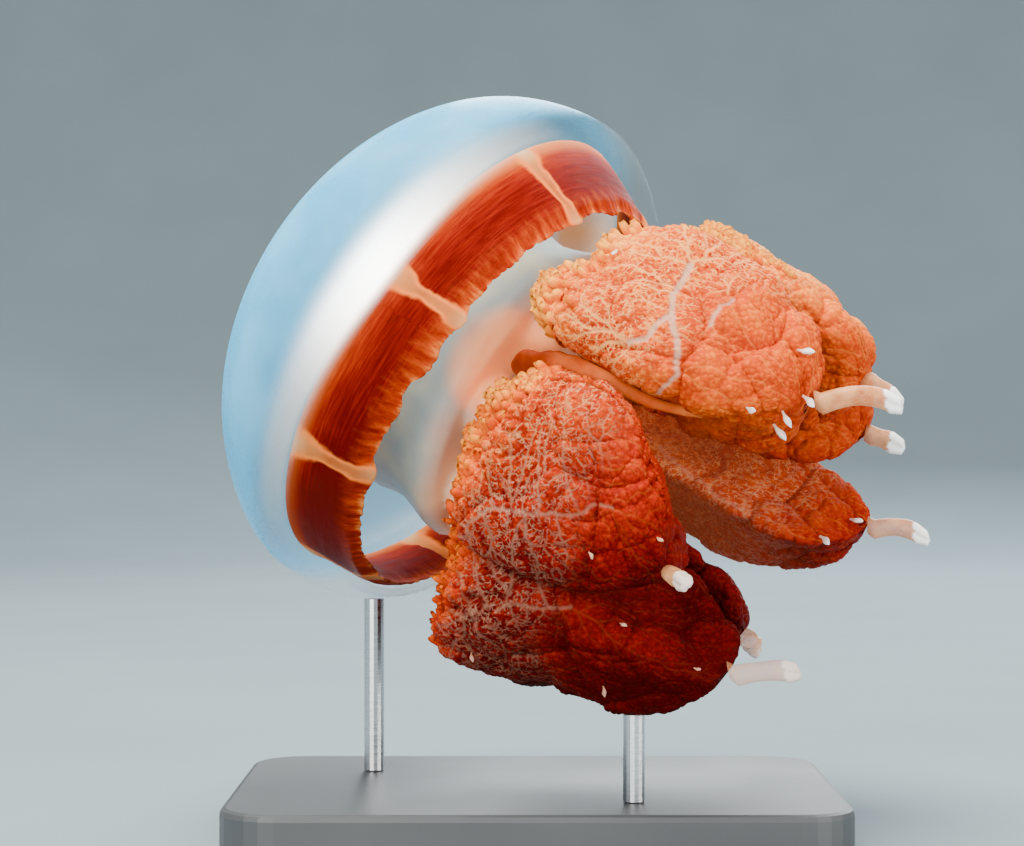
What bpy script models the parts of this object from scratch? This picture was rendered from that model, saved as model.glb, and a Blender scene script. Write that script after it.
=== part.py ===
"""Lagoon jellyfish (Mastigias) swimming on its side, life size, held over a flat base by two rods.

Metres, +Z up, the base's underside at Z = 0. The animal is laid out in its own measures, in
millimetres: r out from the oral axis, phi round it (0 faces the viewer, 90 is uppermost) and
z along it, from the bell's widest ring towards the arms.
"""

import math

import bmesh
import bpy
from mathutils import Vector

MM = 0.001
GAP = 0.3

# How the animal is held
BELL_CENTRE = Vector((-19.0, 16.0, 117.5))
DIP = math.radians(33.0)
NEARING = math.radians(23.2)

# Bell
BELL_R = 70.0
DOME_H = 52.0
RIM_R = 60.6
RIM_Z = 19.0
RIM_TIP = 0.048
RIM_TIP_BIAS = 0.019
RIM_FLARE = 2.5
HOLLOW_R = 65.8
HOLLOW_Z = -6.0
HOLLOW_H = 22.0
HOLLOW_RIM_R = 58.6
BELL_STEPS = 36

# Ring of muscle under the margin, in eight lengths between the radial canals
BANDS = 8
FIRST_CANAL = 6.5
CANAL_WIDTH = 3.4
BAND_TOP_Z = 0.5
BAND_THICK = 2.3
BAND_CLEAR = 0.6
LAPPET_R = 54.8
LAPPET_Z = 21.0

# Column: four pillars down to the arm disc
PILLARS = 4
PILLAR_FROM = 27.5
PILLAR_SPAN = 58.0
PILLAR_IN_R = 17.0
PILLAR_OUT_R = 39.0
DISC_TOP_Z = -2.0
DISC_END_Z = 24.0
DISC_WAIST_R = 37.0
DISC_END_R = 41.0

# Eight oral arms, each a smooth root and a three-winged frilled fan
ROOT_RHO = 26.0
ROOT_R = 8.0
FAN_STALK_RHO = 35.0
FAN_STALK_Z = 33.0
FAN_RHO = 51.0
FAN_OUT = 15.5
FAN_IN = 24.0
WING_LOBE = 0.15
WING_BACK = 10.0
ARM_CLEAR = math.radians(0.6)
FAN_RINGS = 13
FAN_SIDES = 16

# name: wedge from, wedge to, reach, wing start z, slant, tip z, tip rho, tip turn, taper, wing
ARMS = {
    "front": (-40.0, 14.5, -0.5, 39.0, 2.0, 94.0, 47.0, -0.3, 0.85, 0.0),
    "front_upper": (14.5, 64.0, 2.0, 30.0, 1.0, 97.0, 49.5, 0.12, 0.15, 0.0),
    "upper": (64.0, 105.0, -1.0, 33.0, 0.0, 95.5, 48.0, 0.0, 0.3, 0.0),
    "rear_upper": (105.0, 146.0, 0.0, 28.0, 0.0, 93.0, 48.0, 0.0, 0.3, 0.0),
    "rear": (146.0, 188.0, -3.0, 30.0, 0.0, 104.0, 42.0, -0.7, 0.3, 0.0),
    "rear_lower": (188.0, 230.0, 0.0, 30.0, 0.0, 92.0, 41.0, 0.0, 0.3, 0.0),
    "lower": (230.0, 270.0, 0.0, 30.0, 0.0, 84.0, 38.0, 0.0, 0.3, 0.0),
    "front_lower": (270.0, 320.0, -7.0, 40.0, 6.0, 110.5, 37.0, 0.4, 0.4, 11.0),
}
# Length, dip and nearing of each arm's terminal club
CLUBS = {
    "front": (7.0, 5.0, 75.0),
    "front_upper": (18.5, -7.0, 10.0),
    "upper": (9.0, 30.0, 10.0),
    "rear_upper": (8.5, 12.0, 10.0),
    "rear": (14.0, 1.0, 15.0),
    "rear_lower": (6.0, 50.0, -50.0),
    "lower": (9.0, 33.0, 23.0),
    "front_lower": (15.5, -14.0, 10.0),
}
CLUB_R = 3.1

# Stand
BASE_SIZE = (150.0, 104.0, 10.0)
BASE_CORNER = 14.0
BASE_EDGE = 1.6
ROD_R = 2.6


def material(name, colour, roughness, metallic=0.0):
    made = bpy.data.materials.new(name)
    made.use_nodes = True
    shader = made.node_tree.nodes["Principled BSDF"]
    shader.inputs["Base Color"].default_value = (*colour, 1.0)
    shader.inputs["Roughness"].default_value = roughness
    shader.inputs["Metallic"].default_value = metallic
    made.diffuse_color = (*colour, 1.0)
    return made


def smooth(low, high, value):
    t = min(max((value - low) / (high - low), 0.0), 1.0)
    return t * t * (3.0 - 2.0 * t)


def direction(phi):
    """Unit vector out from the oral axis at phi degrees."""
    near = Vector(
        (-math.sin(NEARING) * math.cos(DIP), -math.cos(NEARING), math.sin(NEARING) * math.sin(DIP))
    )
    up = Vector((math.sin(DIP), 0.0, math.cos(DIP)))
    return near * math.cos(math.radians(phi)) + up * math.sin(math.radians(phi))


def heading(dip, nearing):
    """Unit vector to the right, dipping below the level and coming towards the viewer."""
    level = math.cos(nearing)
    return Vector((level * math.cos(dip), -math.sin(nearing), -level * math.sin(dip)))


ORAL = heading(DIP, NEARING)


def place(r, phi, z):
    """A point of the animal's own measures, in the room."""
    return (BELL_CENTRE + direction(phi) * r + ORAL * z) * MM


def place_bell(r, phi, z):
    """As place, with the margin tipped and opened on its lower side by the swimming stroke."""
    rise = math.sin(math.radians(phi))
    tipped = z + (RIM_TIP * rise - RIM_TIP_BIAS * abs(rise)) * r * smooth(-26.0, 6.0, z)
    return place(r - RIM_FLARE * rise * smooth(0.0, RIM_Z, z), phi, tipped)


def loft(name, rings, look, first=None, last=None):
    """A closed solid through rings of equal count. An end is a point where one is given, or flat."""
    mesh = bmesh.new()
    rows = [[mesh.verts.new(point) for point in ring] for ring in rings]
    count = len(rows[0])
    for low, high in zip(rows, rows[1:]):
        for i in range(count):
            j = (i + 1) % count
            mesh.faces.new((low[i], low[j], high[j], high[i]))
    for row, pole in ((rows[0], first), (rows[-1], last)):
        if pole is None:
            mesh.faces.new(row)
            continue
        point = mesh.verts.new(pole)
        for i in range(count):
            mesh.faces.new((row[i], row[(i + 1) % count], point))
    bmesh.ops.recalc_face_normals(mesh, faces=mesh.faces)
    data = bpy.data.meshes.new(name)
    mesh.to_mesh(data)
    mesh.free()
    data.shade_smooth()
    return add(name, data, look)


def add(name, data, look):
    made = bpy.data.objects.new(name, data)
    data.materials.append(look)
    model.objects.link(made)
    return made


# ---- bell and margin ----


def hollow_wall(z):
    """Radius of the bell's inner wall, from the top of the muscle ring to the rim."""
    t = (z - HOLLOW_Z) / (RIM_Z - HOLLOW_Z)
    return HOLLOW_R + (HOLLOW_RIM_R - HOLLOW_R) * t


def hollow_roof(r):
    """Height of the roof of the bell's hollow at radius r."""
    return HOLLOW_Z - HOLLOW_H * (1.0 - (r / HOLLOW_R) ** 2.4) ** (1.0 / 2.4)


def bell_profile():
    """(r, z) from beside the apex, over the rim and back along the hollow to beside its centre."""
    points = [
        (BELL_R * math.sin(math.radians(a)), -DOME_H * math.cos(math.radians(a)))
        for a in (9, 20, 32, 44, 56, 67, 78, 90)
    ]
    for z in (6.0, 11.0, 15.5):
        points.append((BELL_R - (BELL_R - RIM_R) * (z / RIM_Z) ** 1.8, z))
    points += [(RIM_R, RIM_Z), (HOLLOW_RIM_R + 0.8, RIM_Z + 0.9)]
    points += [(hollow_wall(z), z) for z in (RIM_Z, 6.0, HOLLOW_Z)]
    points += [(r, hollow_roof(r)) for r in (62.5, 57.0, 48.0, 36.0, 20.0)]
    return points


def build_bell():
    turns = [360.0 * i / BELL_STEPS for i in range(BELL_STEPS)]
    rings = [[place_bell(r, phi, z) for phi in turns] for r, z in bell_profile()]
    loft(
        "bell",
        rings,
        material("bell_jelly", (0.70, 0.79, 0.86), 0.22),
        place_bell(0.0, 0.0, -DOME_H),
        place_bell(0.0, 0.0, hollow_roof(0.0)),
    )


def band_section(swell):
    """(r, z) round one length of the muscle ring, from its upper edge down the wall and back."""
    wall = [(hollow_wall(z) - BAND_CLEAR, z) for z in (BAND_TOP_Z, 6.5, 12.5, RIM_Z - 0.6)]
    frill = [(LAPPET_R + 1.4, LAPPET_Z), (LAPPET_R, LAPPET_Z - 1.2)]
    face = []
    for z in (15.5, 10.5, 5.0, BAND_TOP_Z + 0.4):
        depth = BAND_THICK * (0.45 + 0.55 * swell * math.sin(math.pi * smooth(-3.5, 24.0, z)))
        face.append((hollow_wall(z) - BAND_CLEAR - depth, z))
    return wall + frill + face


def build_bands():
    look = material("ring_muscle", (0.30, 0.045, 0.008), 0.42)
    half = math.degrees(CANAL_WIDTH / 2.0 / HOLLOW_RIM_R)
    pitch = 360.0 / BANDS
    steps = 8
    for k in range(BANDS):
        start = FIRST_CANAL + pitch * k + half
        rings = []
        for i in range(steps + 1):
            t = i / steps
            section = band_section(math.sin(math.pi * (0.08 + 0.84 * t)) ** 0.5)
            phi = start + (pitch - 2.0 * half) * t
            rings.append([place_bell(r, phi, z) for r, z in section])
        loft(f"muscle_ring_{k + 1}", rings, look)


# ---- column ----


def build_pillars():
    look = material("pillar_jelly", (0.66, 0.60, 0.60), 0.3)
    for k in range(PILLARS):
        middle = PILLAR_FROM + 360.0 / PILLARS * k
        outline = []
        for r, turn in ((PILLAR_OUT_R, 1.0), (PILLAR_IN_R, -1.0)):
            half = PILLAR_SPAN / 2.0 * (1.0 if turn > 0 else 0.8)
            outline += [(r - abs(t) ** 3 * 2.0 * turn, middle + turn * half * t)
                        for t in (-1.0, -0.6, 0.0, 0.6, 1.0)]
        rings = []
        for t in (0.0, 0.35, 0.75, 1.0):
            waist = 1.0 - 0.08 * math.sin(math.pi * t)
            ring = []
            for r, phi in outline:
                roof = hollow_roof(r) + GAP
                z = roof + (DISC_TOP_Z - GAP - roof) * t
                ring.append(place_bell(r * waist, phi, z) if t == 0.0 else place(r * waist, phi, z))
            rings.append(ring)
        loft(f"pillar_{k + 1}", rings, look)


def disc_radius(z):
    t = (z - DISC_TOP_Z) / (DISC_END_Z - DISC_TOP_Z)
    return DISC_WAIST_R + (PILLAR_OUT_R + 1.0 - DISC_WAIST_R) * (1.0 - t) ** 4 \
        + (DISC_END_R - DISC_WAIST_R) * smooth(0.35, 0.95, t)


def build_disc():
    profile = [(disc_radius(DISC_TOP_Z) - 2.5, DISC_TOP_Z)]
    profile += [(disc_radius(z), z) for z in (DISC_TOP_Z + 1.5, 4.0, 9.0, 14.0, 18.5)]
    profile += [(DISC_END_R, DISC_END_Z - 2.5), (DISC_END_R - 2.5, DISC_END_Z)]
    turns = [360.0 * i / 32 for i in range(32)]
    rings = [[place(r, phi, z) for phi in turns] for r, z in profile]
    loft("arm_disc", rings, material("disc_jelly", (0.66, 0.62, 0.62), 0.3))


# ---- oral arms ----


def fan_swell(s):
    """Fullness of a fan along its length: quick to open, blunt at the tip."""
    if s < 0.3:
        return (1.0 - (1.0 - s / 0.3) ** 2.2) ** (1.0 / 2.2)
    return (1.0 - ((s - 0.3) / 0.7) ** 2.6) ** (1.0 / 2.6)


def fan_point(arm, s, alpha):
    """A point of a fan's surface: s from the root to the tip, alpha round the arm (90 deg is outer)."""
    low, high, reach, start, slant, end, tip_rho, turn, taper, wing = arm
    swell = fan_swell(s)
    slim = (1.0 - max((s - 0.3) / 0.7, 0.0) ** 1.8) ** 0.667
    breadth = swell + taper * (min(swell, slim) - swell)
    open_ = smooth(0.0, 0.14, s)
    lobes = 1.0 + WING_LOBE * open_ * math.cos(3.0 * (alpha - math.pi / 6.0))
    scallop = 1.0 + 0.045 * swell * math.sin(2.0 * math.pi * 3.2 * s + low)
    across = math.copysign(abs(math.cos(alpha)) ** 0.72, math.cos(alpha))
    outward = math.copysign(abs(math.sin(alpha)) ** 0.85, math.sin(alpha))
    half = math.radians(high - low) / 2.0 - ARM_CLEAR
    rho = FAN_STALK_RHO + (FAN_RHO + reach - FAN_STALK_RHO) * (1.0 - (1.0 - s) ** 8)
    rho += (tip_rho - FAN_RHO - reach) * s ** 2.5
    depth = ROOT_R + ((FAN_OUT if outward > 0 else FAN_IN) - ROOT_R) * open_
    depth *= (1.0 - open_) + open_ * swell
    rho += outward * depth * lobes * scallop
    rho += wing * max(outward, 0.0) * open_ * (1.0 - smooth(0.15, 0.55, s))
    stalk = ROOT_R / (FAN_STALK_RHO * half)
    width = stalk + (1.0 - stalk) * open_
    width *= ((1.0 - open_) + open_ * breadth) / (1.0 + WING_LOBE * open_ * 0.45)
    bend = turn * (1.0 - width) * smooth(0.4, 1.0, s)
    psi = across * width * lobes * (1.0 - 0.25 * max(-outward, 0.0)) + bend
    psi = min(max(psi, -1.0), 1.0) * half
    z = FAN_STALK_Z + (end - FAN_STALK_Z) * s
    back = FAN_STALK_Z - start - slant * across
    flare = max(outward + 0.35, 0.0) * (0.45 + 0.55 * abs(across))
    z -= (back + WING_BACK * 0.4) * flare * smooth(0.0, 0.05, s) * (1.0 - smooth(0.0, 0.42, s))
    return rho, (low + high) / 2.0 + math.degrees(psi), z


def build_arms():
    root_look = material("arm_root", (0.80, 0.36, 0.22), 0.35)
    club_look = material("club_jelly", (0.84, 0.72, 0.62), 0.25)
    light, dark = (0.86, 0.30, 0.09), (0.30, 0.012, 0.004)
    for name, arm in ARMS.items():
        middle = (arm[0] + arm[1]) / 2.0
        shade = 0.5 - 0.5 * math.sin(math.radians(middle - 8.0))
        colour = tuple(a + (b - a) * shade ** 1.6 for a, b in zip(light, dark))
        look = material(f"arm_{name}_frills", colour, 0.45)
        sides = [2.0 * math.pi * i / FAN_SIDES for i in range(FAN_SIDES)]
        lengths = [0.0, 0.05] + [0.12 + 0.84 * (i / (FAN_RINGS - 3)) for i in range(FAN_RINGS - 2)]
        rings = [[place(*fan_point(arm, s, a)) for a in sides] for s in lengths]
        tip = fan_point(arm, 1.0, 0.0)
        loft(f"arm_{name}", rings, look, None, place(*tip))
        build_root(name, middle, root_look)
        build_club(name, tip, *CLUBS[name], club_look)


def build_root(name, middle, look):
    """Smooth upper length of an arm, from the disc's underside to the back of its fan."""
    out, axis = direction(middle), ORAL
    across = out.cross(axis)
    rings = []
    for t in (0.0, 0.4, 1.0):
        rho = ROOT_RHO + (FAN_STALK_RHO - ROOT_RHO) * t
        z = DISC_END_Z + GAP + (FAN_STALK_Z - DISC_END_Z - 2.0 * GAP) * t
        radius = ROOT_R * (0.98 + 0.02 * t) - GAP
        centre = BELL_CENTRE + out * rho + axis * z
        rings.append([
            (centre + out * radius * math.sin(a) + across * radius * math.cos(a)) * MM
            for a in (2.0 * math.pi * i / 12 for i in range(12))
        ])
    loft(f"arm_root_{name}", rings, look)


def build_club(name, tip, length, dip, nearing, look):
    """Slim tube from an arm's tip, bending down, with a blunt three-edged end."""
    rho, phi, z = tip
    lean = heading(math.radians(dip), math.radians(nearing))
    base = BELL_CENTRE + direction(phi) * rho + ORAL * (z + GAP)
    base += lean * CLUB_R * 1.5 * lean.cross(ORAL).length
    sag = Vector((0.0, 0.0, -1.0))
    side = lean.cross(sag).normalized()
    rings = []
    for t, wide, edge in ((0.0, 0.95, 0.0), (0.35, 0.9, 0.0), (0.7, 0.95, 0.0), (0.8, 1.2, 0.15),
                          (0.93, 1.15, 0.3)):
        centre = base + lean * length * t + sag * length * 0.16 * t * t
        top = side.cross(lean).normalized()
        rings.append([
            (centre + (side * math.cos(a) + top * math.sin(a))
             * CLUB_R * wide * (1.0 + edge * math.cos(3.0 * a))) * MM
            for a in (2.0 * math.pi * i / 9 for i in range(9))
        ])
    end = base + lean * length + sag * length * 0.16
    loft(f"club_{name}", rings, look, None, end * MM)


# ---- stand ----


def build_stand():
    wide, deep, thick = BASE_SIZE
    mesh = bmesh.new()
    bmesh.ops.create_cube(mesh, size=1.0)
    bmesh.ops.scale(mesh, verts=mesh.verts, vec=(wide * MM, deep * MM, thick * MM))
    bmesh.ops.translate(mesh, verts=mesh.verts, vec=(0.0, 0.0, thick / 2.0 * MM))
    upright = [e for e in mesh.edges if abs(e.verts[0].co.z - e.verts[1].co.z) > thick / 2.0 * MM]
    bmesh.ops.bevel(mesh, geom=upright, offset=BASE_CORNER * MM, segments=6, profile=0.5,
                    affect="EDGES")
    data = bpy.data.meshes.new("stand_base")
    mesh.to_mesh(data)
    mesh.free()
    base = add("stand_base", data, material("stand_paint", (0.09, 0.095, 0.10), 0.5))
    edge = base.modifiers.new("edge", "BEVEL")
    edge.width, edge.segments, edge.limit_method = BASE_EDGE * MM, 2, "ANGLE"

    steel = material("rod_steel", (0.60, 0.61, 0.63), 0.3, 1.0)
    for name, held in (("bell", "bell"), ("arms", "arm_front_lower")):
        x, y, top = min((vert.co for vert in bpy.data.meshes[held].vertices), key=lambda co: co.z) / MM
        low, top = thick + GAP, top - GAP
        mesh = bmesh.new()
        bmesh.ops.create_cone(mesh, cap_ends=True, segments=16, radius1=ROD_R * MM,
                              radius2=ROD_R * MM, depth=(top - low) * MM)
        bmesh.ops.translate(mesh, verts=mesh.verts, vec=(x * MM, y * MM, (top + low) / 2.0 * MM))
        data = bpy.data.meshes.new(f"stand_rod_{name}")
        mesh.to_mesh(data)
        mesh.free()
        data.shade_smooth()
        add(f"stand_rod_{name}", data, steel)


for old in list(bpy.data.objects):
    bpy.data.objects.remove(old)
model = bpy.data.collections.new("lagoon_jellyfish")
bpy.context.scene.collection.children.link(model)

build_bell()
build_bands()
build_pillars()
build_disc()
build_arms()
build_stand()
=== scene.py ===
"""Lagoon jellyfish on its display stand: the dressed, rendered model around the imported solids.

The animal's own measures are in millimetres: r out from the oral axis, phi round it (0 faces
the viewer, 90 is uppermost) and z along it, from the bell's widest ring towards the arms.
"""
import heapq
import math
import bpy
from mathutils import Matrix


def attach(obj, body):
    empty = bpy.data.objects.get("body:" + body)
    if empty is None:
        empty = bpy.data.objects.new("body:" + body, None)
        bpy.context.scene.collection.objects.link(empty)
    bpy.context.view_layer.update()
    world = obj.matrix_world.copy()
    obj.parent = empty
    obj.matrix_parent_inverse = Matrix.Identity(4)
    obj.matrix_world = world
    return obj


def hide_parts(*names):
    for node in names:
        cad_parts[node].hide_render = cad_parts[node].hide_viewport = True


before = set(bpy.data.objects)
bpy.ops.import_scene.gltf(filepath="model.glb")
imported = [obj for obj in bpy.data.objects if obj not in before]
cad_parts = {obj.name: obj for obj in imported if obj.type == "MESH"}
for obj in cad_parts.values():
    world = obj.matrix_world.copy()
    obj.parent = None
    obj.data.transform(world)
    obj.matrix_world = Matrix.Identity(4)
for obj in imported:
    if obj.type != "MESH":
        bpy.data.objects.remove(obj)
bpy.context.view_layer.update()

from types import SimpleNamespace

import bmesh
import bpy
import numpy as np
from mathutils import Vector, kdtree

MM = 0.001
TAU = 2.0 * math.pi

# ---- the animal's measures

BELL_CENTRE = np.array((-19.0, 16.0, 117.5))
DIP = math.radians(33.0)
NEARING = math.radians(23.2)
BELL_R, DOME_H, RIM_R, RIM_Z = 70.0, 52.0, 60.6, 19.0
RIM_TIP, RIM_TIP_BIAS, RIM_FLARE, TIP_FROM_Z, TIP_TO_Z = 0.048, 0.019, 2.5, -26.0, 6.0
HOLLOW_R, HOLLOW_Z, HOLLOW_H, HOLLOW_RIM_R, ROOF_POWER = 65.8, -6.0, 22.0, 58.6, 2.4
CANAL_PITCH, FIRST_CANAL, CANAL_WIDTH = 45.0, 6.5, 3.4
BAND_TOP_Z, BAND_THICK, LAPPET_R, LAPPET_Z = 0.5, 2.3, 54.8, 21.0
ROOT_R, FAN_STALK_RHO, FAN_STALK_Z, FAN_RHO = 8.0, 35.0, 33.0, 51.0
FAN_OUT, FAN_IN, WING_LOBE, WING_BACK = 15.5, 24.0, 0.15, 10.0
ARM_CLEAR = math.radians(0.6)
CLUB_R, GAP = 3.1, 0.3
BLUSH_CENTRE = np.array((-4.5, -27.0, 112.5))

# name: wedge from, wedge to, reach, wing start z, slant, tip z, tip rho, tip turn, taper, wing
ARMS = {
    "front": (-40, 14.5, -0.5, 39, 2, 94, 47, -0.3, 0.85, 0),
    "front_upper": (14.5, 64, 2, 30, 1, 97, 49.5, 0.12, 0.15, 0),
    "upper": (64, 105, -1, 33, 0, 95.5, 48, 0, 0.3, 0),
    "rear_upper": (105, 146, 0, 28, 0, 93, 48, 0, 0.3, 0),
    "rear": (146, 188, -3, 30, 0, 104, 42, -0.7, 0.3, 0),
    "rear_lower": (188, 230, 0, 30, 0, 92, 41, 0, 0.3, 0),
    "lower": (230, 270, 0, 30, 0, 84, 38, 0, 0.3, 0),
    "front_lower": (270, 320, -7, 40, 6, 110.5, 37, 0.4, 0.4, 11),
}
# What an arm has unless SPECIAL says otherwise: how far along it the canals crowd and how much,
# how plainly its trunks and their links show, the painted shade that reddens its underside, its
# finger lobes' size, the darkness of the flesh between twigs with the painted shade between its
# polyps, and the painted glow that stands in for daylight coming through
USUAL = {"reach": 0.62, "crowd": 1.0, "trunks": 0.55, "links": 0.6, "under": 0.08, "finger": 1.0,
         "dark": 1.0, "glow": 0.0}
SPECIAL = {
    "front_upper": {"trunks": 1.0, "links": 0.9, "under": 0.0},
    "rear": {"dark": 0.3, "glow": 0.10},
    "front_lower": {"reach": 0.44, "crowd": 1.3, "finger": 0.78},
}
# Length, dip and nearing of each arm's terminal club
CLUBS = {
    "front": (7, 5, 75),
    "front_upper": (18.5, -7, 10),
    "upper": (9, 30, 10),
    "rear_upper": (8.5, 12, 10),
    "rear": (14, 1, 15),
    "rear_lower": (6, 50, -50),
    "lower": (9, 33, 23),
    "front_lower": (15.5, -14, 10),
}
# Rows and columns of each fan's skin, its redness at the upper root and lower tip, and how much
# of that change runs along the arm; the rest runs down it by height, partly the flesh's own
# redness and partly painted shade
SKINS = {
    "front": (300, 276, 0.33, 0.88, 0.5),
    "front_upper": (300, 276, 0.24, 0.42, 0.3),
    "upper": (230, 210, 0.04, 0.44, 0.3),
    "rear_upper": (230, 210, 0.14, 0.48, 0.4),
    "rear": (260, 236, 0.28, 0.66, 0.5),
    "rear_lower": (190, 180, 0.72, 0.96, 0.5),
    "lower": (190, 180, 0.80, 0.98, 0.5),
    "front_lower": (300, 270, 0.56, 1.06, 0.8),
}
# Middles of the great lobes, as (share of the length, degrees round)
LOBES = {
    "front": [(0.04, 62), (0.04, 98), (0.15, 124), (0.30, 86), (0.34, 132), (0.56, 58),
              (0.62, 104), (0.86, 82)],
    "front_upper": [(0.19, 86), (0.24, 140), (0.46, 118), (0.44, 76), (0.70, 86), (0.88, 94),
                    (0.80, 150), (0.55, 158)],
    "front_lower": [(0.10, 84), (0.19, 46), (0.44, 66), (0.56, 100), (0.84, 34), (0.74, 76)],
    "rear": [(0.32, 238), (0.56, 252), (0.60, 206), (0.86, 200), (0.80, 250)],
}
# Gaps between lobes: share of the length, degrees round, depth and breadth
NOTCHES = {
    "front_upper": [(0.06, 74, 8.0, 3.8), (0.10, 82, 6.5, 3.2), (0.15, 93, 4.5, 2.8),
                    (0.21, 101, 3.4, 2.6), (0.26, 104, 2.4, 2.4), (0.14, 132, 3.5, 2.8)],
    "front": [(0.11, 74, 5.0, 3.2), (0.15, 80, 2.6, 2.6), (0.08, 97, 5.0, 3.2),
              (0.12, 99, 2.6, 2.6), (0.12, 118, 4.0, 3.0), (0.13, 48, 4.5, 6.0),
              (0.17, 36, 5.0, 6.5), (0.23, 28, 5.0, 6.5), (0.31, 26, 3.5, 6.0)],
    "front_lower": [(0.10, 86, 8.0, 3.6), (0.14, 76, 6.5, 3.0), (0.20, 66, 5.0, 2.8),
                    (0.27, 56, 3.5, 2.6), (0.34, 48, 2.4, 2.4)],
}
# The orange fold from the front arm's root to the gap between the two near arms: places in the
# room and half breadth
FOLD = [(-5.2, -36, 112.6, 2.6), (-2.4, -39, 114.9, 3.2), (2, -44, 114.9, 2.8), (7.5, -49, 114.4, 2.1),
        (13, -53, 112.2, 2), (18.4, -55, 109, 1.8), (25.7, -56, 105, 1.5), (34.9, -55, 103, 1.2),
        (41.7, -52, 102.5, 0.8)]
# Thick canals: half width and places along them
TRUNKS = {
    "front_upper": [(0.60, [(0.39, 80), (0.43, 94), (0.49, 109), (0.48, 127), (0.44, 135)]),
                    (0.42, [(0.49, 109), (0.61, 126), (0.66, 139), (0.61, 165)]),
                    (0.30, [(0.62, 102), (0.61, 92), (0.61, 85)])],
    "front": [(0.22, [(0.30, 118), (0.34, 113), (0.51, 103), (0.64, 94), (0.76, 79)])],
    "front_lower": [(0.22, [(0.23, 69), (0.32, 56), (0.42, 45), (0.50, 43), (0.56, 32)])],
    "rear": [(0.42, [(0.26, 245), (0.30, 248), (0.41, 256), (0.54, 264), (0.66, 256)])],
}
# Rows of finger lobes along the wings' crests: spacing, size and places
CRESTS = {
    "front": [(0.62, 0.36, [(0.26, 52), (0.30, 47), (0.47, 40), (0.66, 29), (0.80, 22), (0.92, 21)])],
    "upper": [(0.45, 0.7, [(0.22, 122), (0.36, 127), (0.47, 125), (0.62, 134)]),
              (0.50, 0.75, [(0.24, 128), (0.37, 132), (0.50, 131)]),
              (0.55, 0.75, [(0.22, 136), (0.34, 139), (0.46, 139)])],
}
# Small stinging filaments: arm, place and length
FILAMENTS = [
    ("front_upper", 0.89, 76, 4.6), ("front_upper", 0.99, 105, 4.6), ("front_upper", 0.975, 158, 4.6),
    ("front_upper", 0.955, 188, 5), ("front_upper", 0.89, 150, 3.5), ("front_upper", 0.16, 86, 3),
    ("front", 0.93, 52, 3), ("front", 0.76, 108, 3), ("front_lower", 0.70, 19, 3.5),
    ("front_lower", 0.72, 88, 4), ("front_lower", 0.94, 23, 2.6), ("front_lower", 0.30, 92, 3.5),
    ("rear", 0.95, 190, 4), ("rear", 0.93, 255, 4.5), ("front_lower", 0.55, 350, 3),
]

NEAR = np.array((-math.sin(NEARING) * math.cos(DIP), -math.cos(NEARING),
                 math.sin(NEARING) * math.sin(DIP)))
UP = np.array((math.sin(DIP), 0.0, math.cos(DIP)))


def heading(dip, nearing):
    """Unit vector to the right, dipping below the level and coming towards the viewer."""
    level = math.cos(nearing)
    return np.array((level * math.cos(dip), -math.sin(nearing), -level * math.sin(dip)))


def unit(vectors):
    """The vectors, each brought to length 1."""
    return vectors / np.linalg.norm(vectors, axis=-1, keepdims=True)


ORAL = heading(DIP, NEARING)
# The way lobes lean: against the oral axis and up
LIFT = unit(np.array((0.0, 0.0, 0.45)) - ORAL)


def smooth(low, high, value):
    """0 at low and 1 at high, with a soft start and end."""
    t = np.clip((value - low) / (high - low), 0.0, 1.0)
    return t * t * (3.0 - 2.0 * t)


def hump(value, middle, breadth):
    """1 at the middle, falling softly to nothing on both sides."""
    return np.exp(-((value - middle) / breadth) ** 2)


def hump_round(phi, middle, breadth):
    """A hump over angles in degrees."""
    return hump((phi - middle + 180.0) % 360.0, 180.0, breadth)


def place(r, phi, z):
    """Points of the animal's own measures, in the room, in millimetres."""
    r, phi, z = np.broadcast_arrays(*(np.asarray(v, float) for v in (r, phi, z)))
    turn = np.radians(phi)[..., None]
    return BELL_CENTRE + (NEAR * np.cos(turn) + UP * np.sin(turn)) * r[..., None] + ORAL * z[..., None]


def place_bell(r, phi, z):
    """As place, with the margin tipped and opened on its lower side by the swimming stroke."""
    rise = np.sin(np.radians(phi))
    tipped = z + (RIM_TIP * rise - RIM_TIP_BIAS * abs(rise)) * r * smooth(TIP_FROM_Z, TIP_TO_Z, z)
    return place(r - RIM_FLARE * rise * smooth(0.0, RIM_Z, z), phi, tipped)


def hollow_wall(z):
    return HOLLOW_R + (HOLLOW_RIM_R - HOLLOW_R) * (z - HOLLOW_Z) / (RIM_Z - HOLLOW_Z)


def hollow_roof(r):
    return HOLLOW_Z - HOLLOW_H * (1.0 - (r / HOLLOW_R) ** ROOF_POWER) ** (1.0 / ROOF_POWER)


# ---- noise on points


def hashed(cell, salt):
    """A number from 0 to 1 for each whole-numbered cell of space."""
    n = (cell[..., 0] * 73856093) ^ (cell[..., 1] * 19349663) ^ (cell[..., 2] * 83492791)
    n = (n ^ (salt * 2654435761)) & 0xFFFFFFFF
    for shift, factor in ((16, 0x45D9F3B), (15, 0x2C1B3C6D), (16, 0x297A2D39)):
        n = ((n ^ (n >> shift)) * factor) & 0xFFFFFFFF
    return (n ^ (n >> 16)) / 4294967296.0


SEED_SPREAD = 0.9


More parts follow.
